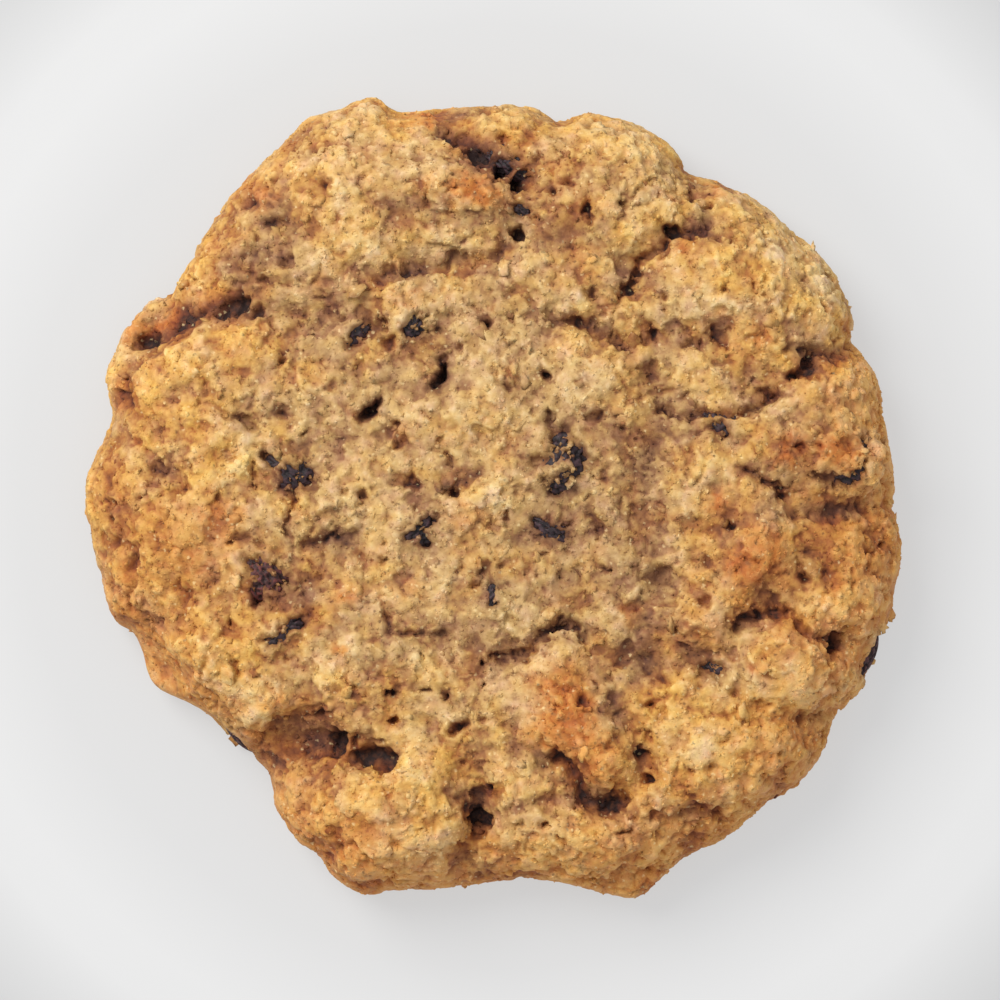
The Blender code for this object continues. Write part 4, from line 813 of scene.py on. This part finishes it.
# Crumbs lie mostly on the high, sound parts of the crust, few on bared raisins or the wall.
sound = 0.55 + 0.45 * ramp(get_attribute(dough, "height"), 0.30, 0.62)
sound = sound * on_crust * (1 - 0.93 * bared)
sound *= 0.05 + 0.95 * ramp(normals_of(dough)[:, 2], 0.15, 0.6)
for name, roundness, count, typical, spread, flatness, sunk, uneven, seed in (
    ("coarse_crumbs", 2, 300, 1.1, 0.3, 0.45, 0.65, 0.3, 10),
    ("crumbs", 1, 6000, 0.52, 0.25, 0.6, 0.6, 0.3, 20),
    ("fine_crumbs", 0, 24000, 0.31, 0.22, 0.8, 0.4, 0.3, 30),
):
    places, outward, heights = scatter(count, sound, seed)
    sizes = np.random.default_rng(seed + 1).lognormal(math.log(typical), spread, count)
    sizes = sizes.clip(typical / 2, typical * 2)
    joined_bits(
        ball(name, roundness), places, outward, heights + 0.01, sizes, flatness, sunk, uneven, seed + 2
    )

# With all crumbs in place, the dough's skin is thinned where it is nearly flat.
MOST_TRIANGLES = 198_000
apply_modifier(dough, "DECIMATE", ratio=MOST_TRIANGLES / len(triangles_of(dough)))


# The raisins. Seedless grapes dried to a dark wrinkled skin, sunk in the dough before baking,
# so that only strips of each show. Each takes its place and size from its solid.
RAISINS = 16
SUNK = 0.45  # mm that a raisin in the crust sits below its solid
WALL_INSET = 1.2  # mm that a raisin in the wall sits further in than its solid
REDDEST = (-24, -8.5)  # where the one reddish raisin lies


def raisin(number):
    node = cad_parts[f"raisin_{number:02d}"]
    solid = points_of(node)
    middle = (solid.max(0) + solid.min(0)) / 2
    spread, axes = np.linalg.eigh(np.cov((solid - solid.mean(0)).T))
    half = np.abs((solid - middle) @ axes).max(0)
    bpy.ops.object.select_all(action="DESELECT")
    bpy.ops.mesh.primitive_ico_sphere_add(subdivisions=5, radius=1)
    made = bpy.context.active_object
    made.name = made.data.name = f"wrinkled_raisin_{number:02d}"
    unit = points_of(made) * MM
    ridges = np.abs(fractal(unit + 7.0 * number, 0.32, 200, 3))
    body = unit * (0.98 - 0.21 * ramp(0.22 - ridges, 0, 0.22))[:, None]
    shaped = (body * half) @ axes.T + middle
    if number < WALL_RAISIN:
        shaped[:, 2] -= SUNK
    else:
        shaped[:, :2] -= WALL_INSET * middle[:2] / np.hypot(*middle[:2])
    move_points(made, shaped)
    if np.linalg.det(axes) < 0:
        edit_all(made, bpy.ops.mesh.flip_normals)
    made.data.shade_smooth()
    # Painted highlight and shade: how far each point stands up on the skin's folds, for the colour.
    set_attribute(made, "fold_light_and_shade", np.clip(ridges / 0.25, 0, 1))
    ruddy = 0.15 if number < WALL_RAISIN else 0.6
    if np.hypot(*(middle[:2] - REDDEST)) < 2:
        ruddy = 1.0
    set_attribute(made, "ruddy", np.full(len(unit), ruddy))
    made.data.materials.append(raisin_skin)
    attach(made, "root")
    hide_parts(f"raisin_{number:02d}")


# Dried grape skin: near black with a violet cast, dull satin. Its colour is paler on the crests
# of the folds, a painted highlight, and near black in the creases, painted shade.
raisin_skin = bpy.data.materials.new("raisin_skin")
raisin_skin.use_nodes = True
tree = raisin_skin.node_tree
shader = tree.nodes["Principled BSDF"]
place = add_node(tree, "TexCoord").outputs["Object"]
fold_light_and_shade = add_node(tree, "Attribute", attribute_name="fold_light_and_shade").outputs["Fac"]
grain = add_node(tree, "TexNoise", {"Vector": place, "Scale": 1 / (0.4 * MM), "Detail": 4})
mixed = add_node(tree, "Math", {0: grain.outputs["Fac"], 1: fold_light_and_shade}, operation="MULTIPLY")
tint = add_node(tree, "ValToRGB", {"Fac": mixed.outputs[0]})
set_stops(tint, [(0, "#0a0508"), (0.4, "#1c1118"), (0.65, "#37262f"), (1, "#74626a")])
ruddy = add_node(tree, "Attribute", attribute_name="ruddy").outputs["Fac"]
maroon = add_node(tree, "ValToRGB", {"Fac": mixed.outputs[0]})
set_stops(maroon, [(0, "#180806"), (0.4, "#3a1512"), (0.65, "#6b2f28"), (1, "#a8766a")])
skin = add_node(
    tree, "Mix", {"Factor": ruddy, 6: tint.outputs["Color"], 7: maroon.outputs["Color"]},
    data_type="RGBA",
)
tree.links.new(skin.outputs[2], shader.inputs["Base Color"])
shader.inputs["Roughness"].default_value = 0.62
bump = add_node(
    tree, "Bump", {"Height": grain.outputs["Fac"], "Strength": 0.7, "Distance": 0.15 * MM}
)
tree.links.new(bump.outputs["Normal"], shader.inputs["Normal"])
for number in range(1, RAISINS + 1):
    raisin(number)

# The floor, a sheet of pale matt paper. It isn't part of the cookie. Its glow is painted light,
# as from a light table under it, that keeps it pale right up to the cookie so that the cookie's
# shadow on it stays faint. The glow is strongest in a ring round the cookie, a little dimmer next
# to it and dimmer towards the far corners, which is painted shade.
bpy.ops.mesh.primitive_plane_add(size=1.2, location=(0, 0, -0.1 * MM))
floor = bpy.context.active_object
floor.name = "floor"
paper = bpy.data.materials.new("pale_paper")
paper.use_nodes = True
shader = paper.node_tree.nodes["Principled BSDF"]
shader.inputs["Base Color"].default_value = (0.2, 0.2, 0.2, 1)
shader.inputs["Roughness"].default_value = 0.9
tree = paper.node_tree
place = add_node(tree, "TexCoord").outputs["Object"]
away = add_node(tree, "VectorMath", {0: place}, operation="LENGTH").outputs["Value"]
share = add_node(tree, "MapRange", {"Value": away, "From Min": 40 * MM, "From Max": 80 * MM})
# Painted light and shade: the glow is strongest in a ring round the cookie, a little dimmer next to it
# and dimmer towards the corners.
painted_glow_and_shade = add_node(tree, "ValToRGB", {"Fac": share.outputs["Result"]})
set_stops(painted_glow_and_shade, [(0, "#bcbcbc"), (0.25, "#bdbdbd"), (0.5, "#c6c6c6"), (0.62, "#c5c5c5"),
                 (1, "#a0a0a0")])
tree.links.new(painted_glow_and_shade.outputs["Color"], shader.inputs["Emission Color"])
shader.inputs["Emission Strength"].default_value = 1
floor.data.materials.append(paper)

# The light: one large soft lamp from the upper left, and a pale room all round.
key = bpy.data.lights.new("key", "AREA")
key.shape = "DISK"
key.size = 0.4
key.energy = 3.6
key.color = (1, 0.98, 0.95)
lamp = bpy.data.objects.new("key", key)
lamp.location = (-0.32, 0.30, 0.46)
lamp.rotation_euler = (-lamp.location).to_track_quat("-Z", "Y").to_euler()
bpy.context.scene.collection.objects.link(lamp)
world = bpy.data.worlds.new("room")
bpy.context.scene.world = world
world.use_nodes = True
room_light = world.node_tree.nodes["Background"]
room_light.inputs["Color"].default_value = (0.95, 0.97, 1, 1)
room_light.inputs["Strength"].default_value = 0.72
bpy.context.scene.view_settings.view_transform = "Standard"

# The camera looks straight down. Its view is 105 mm wide at the height of the cookie's edge.
VIEW_WIDTH = 105.26 * MM
CAMERA_HEIGHT = 0.45
EDGE_HEIGHT = 2.8 * MM
camera_data = bpy.data.cameras.new("camera")
camera = bpy.data.objects.new("camera", camera_data)
camera.location = (0.79 * MM, -0.32 * MM, CAMERA_HEIGHT)
camera_data.sensor_width = 36
camera_data.lens = 36 * (CAMERA_HEIGHT - EDGE_HEIGHT) / VIEW_WIDTH
bpy.context.scene.collection.objects.link(camera)
bpy.context.scene.camera = camera
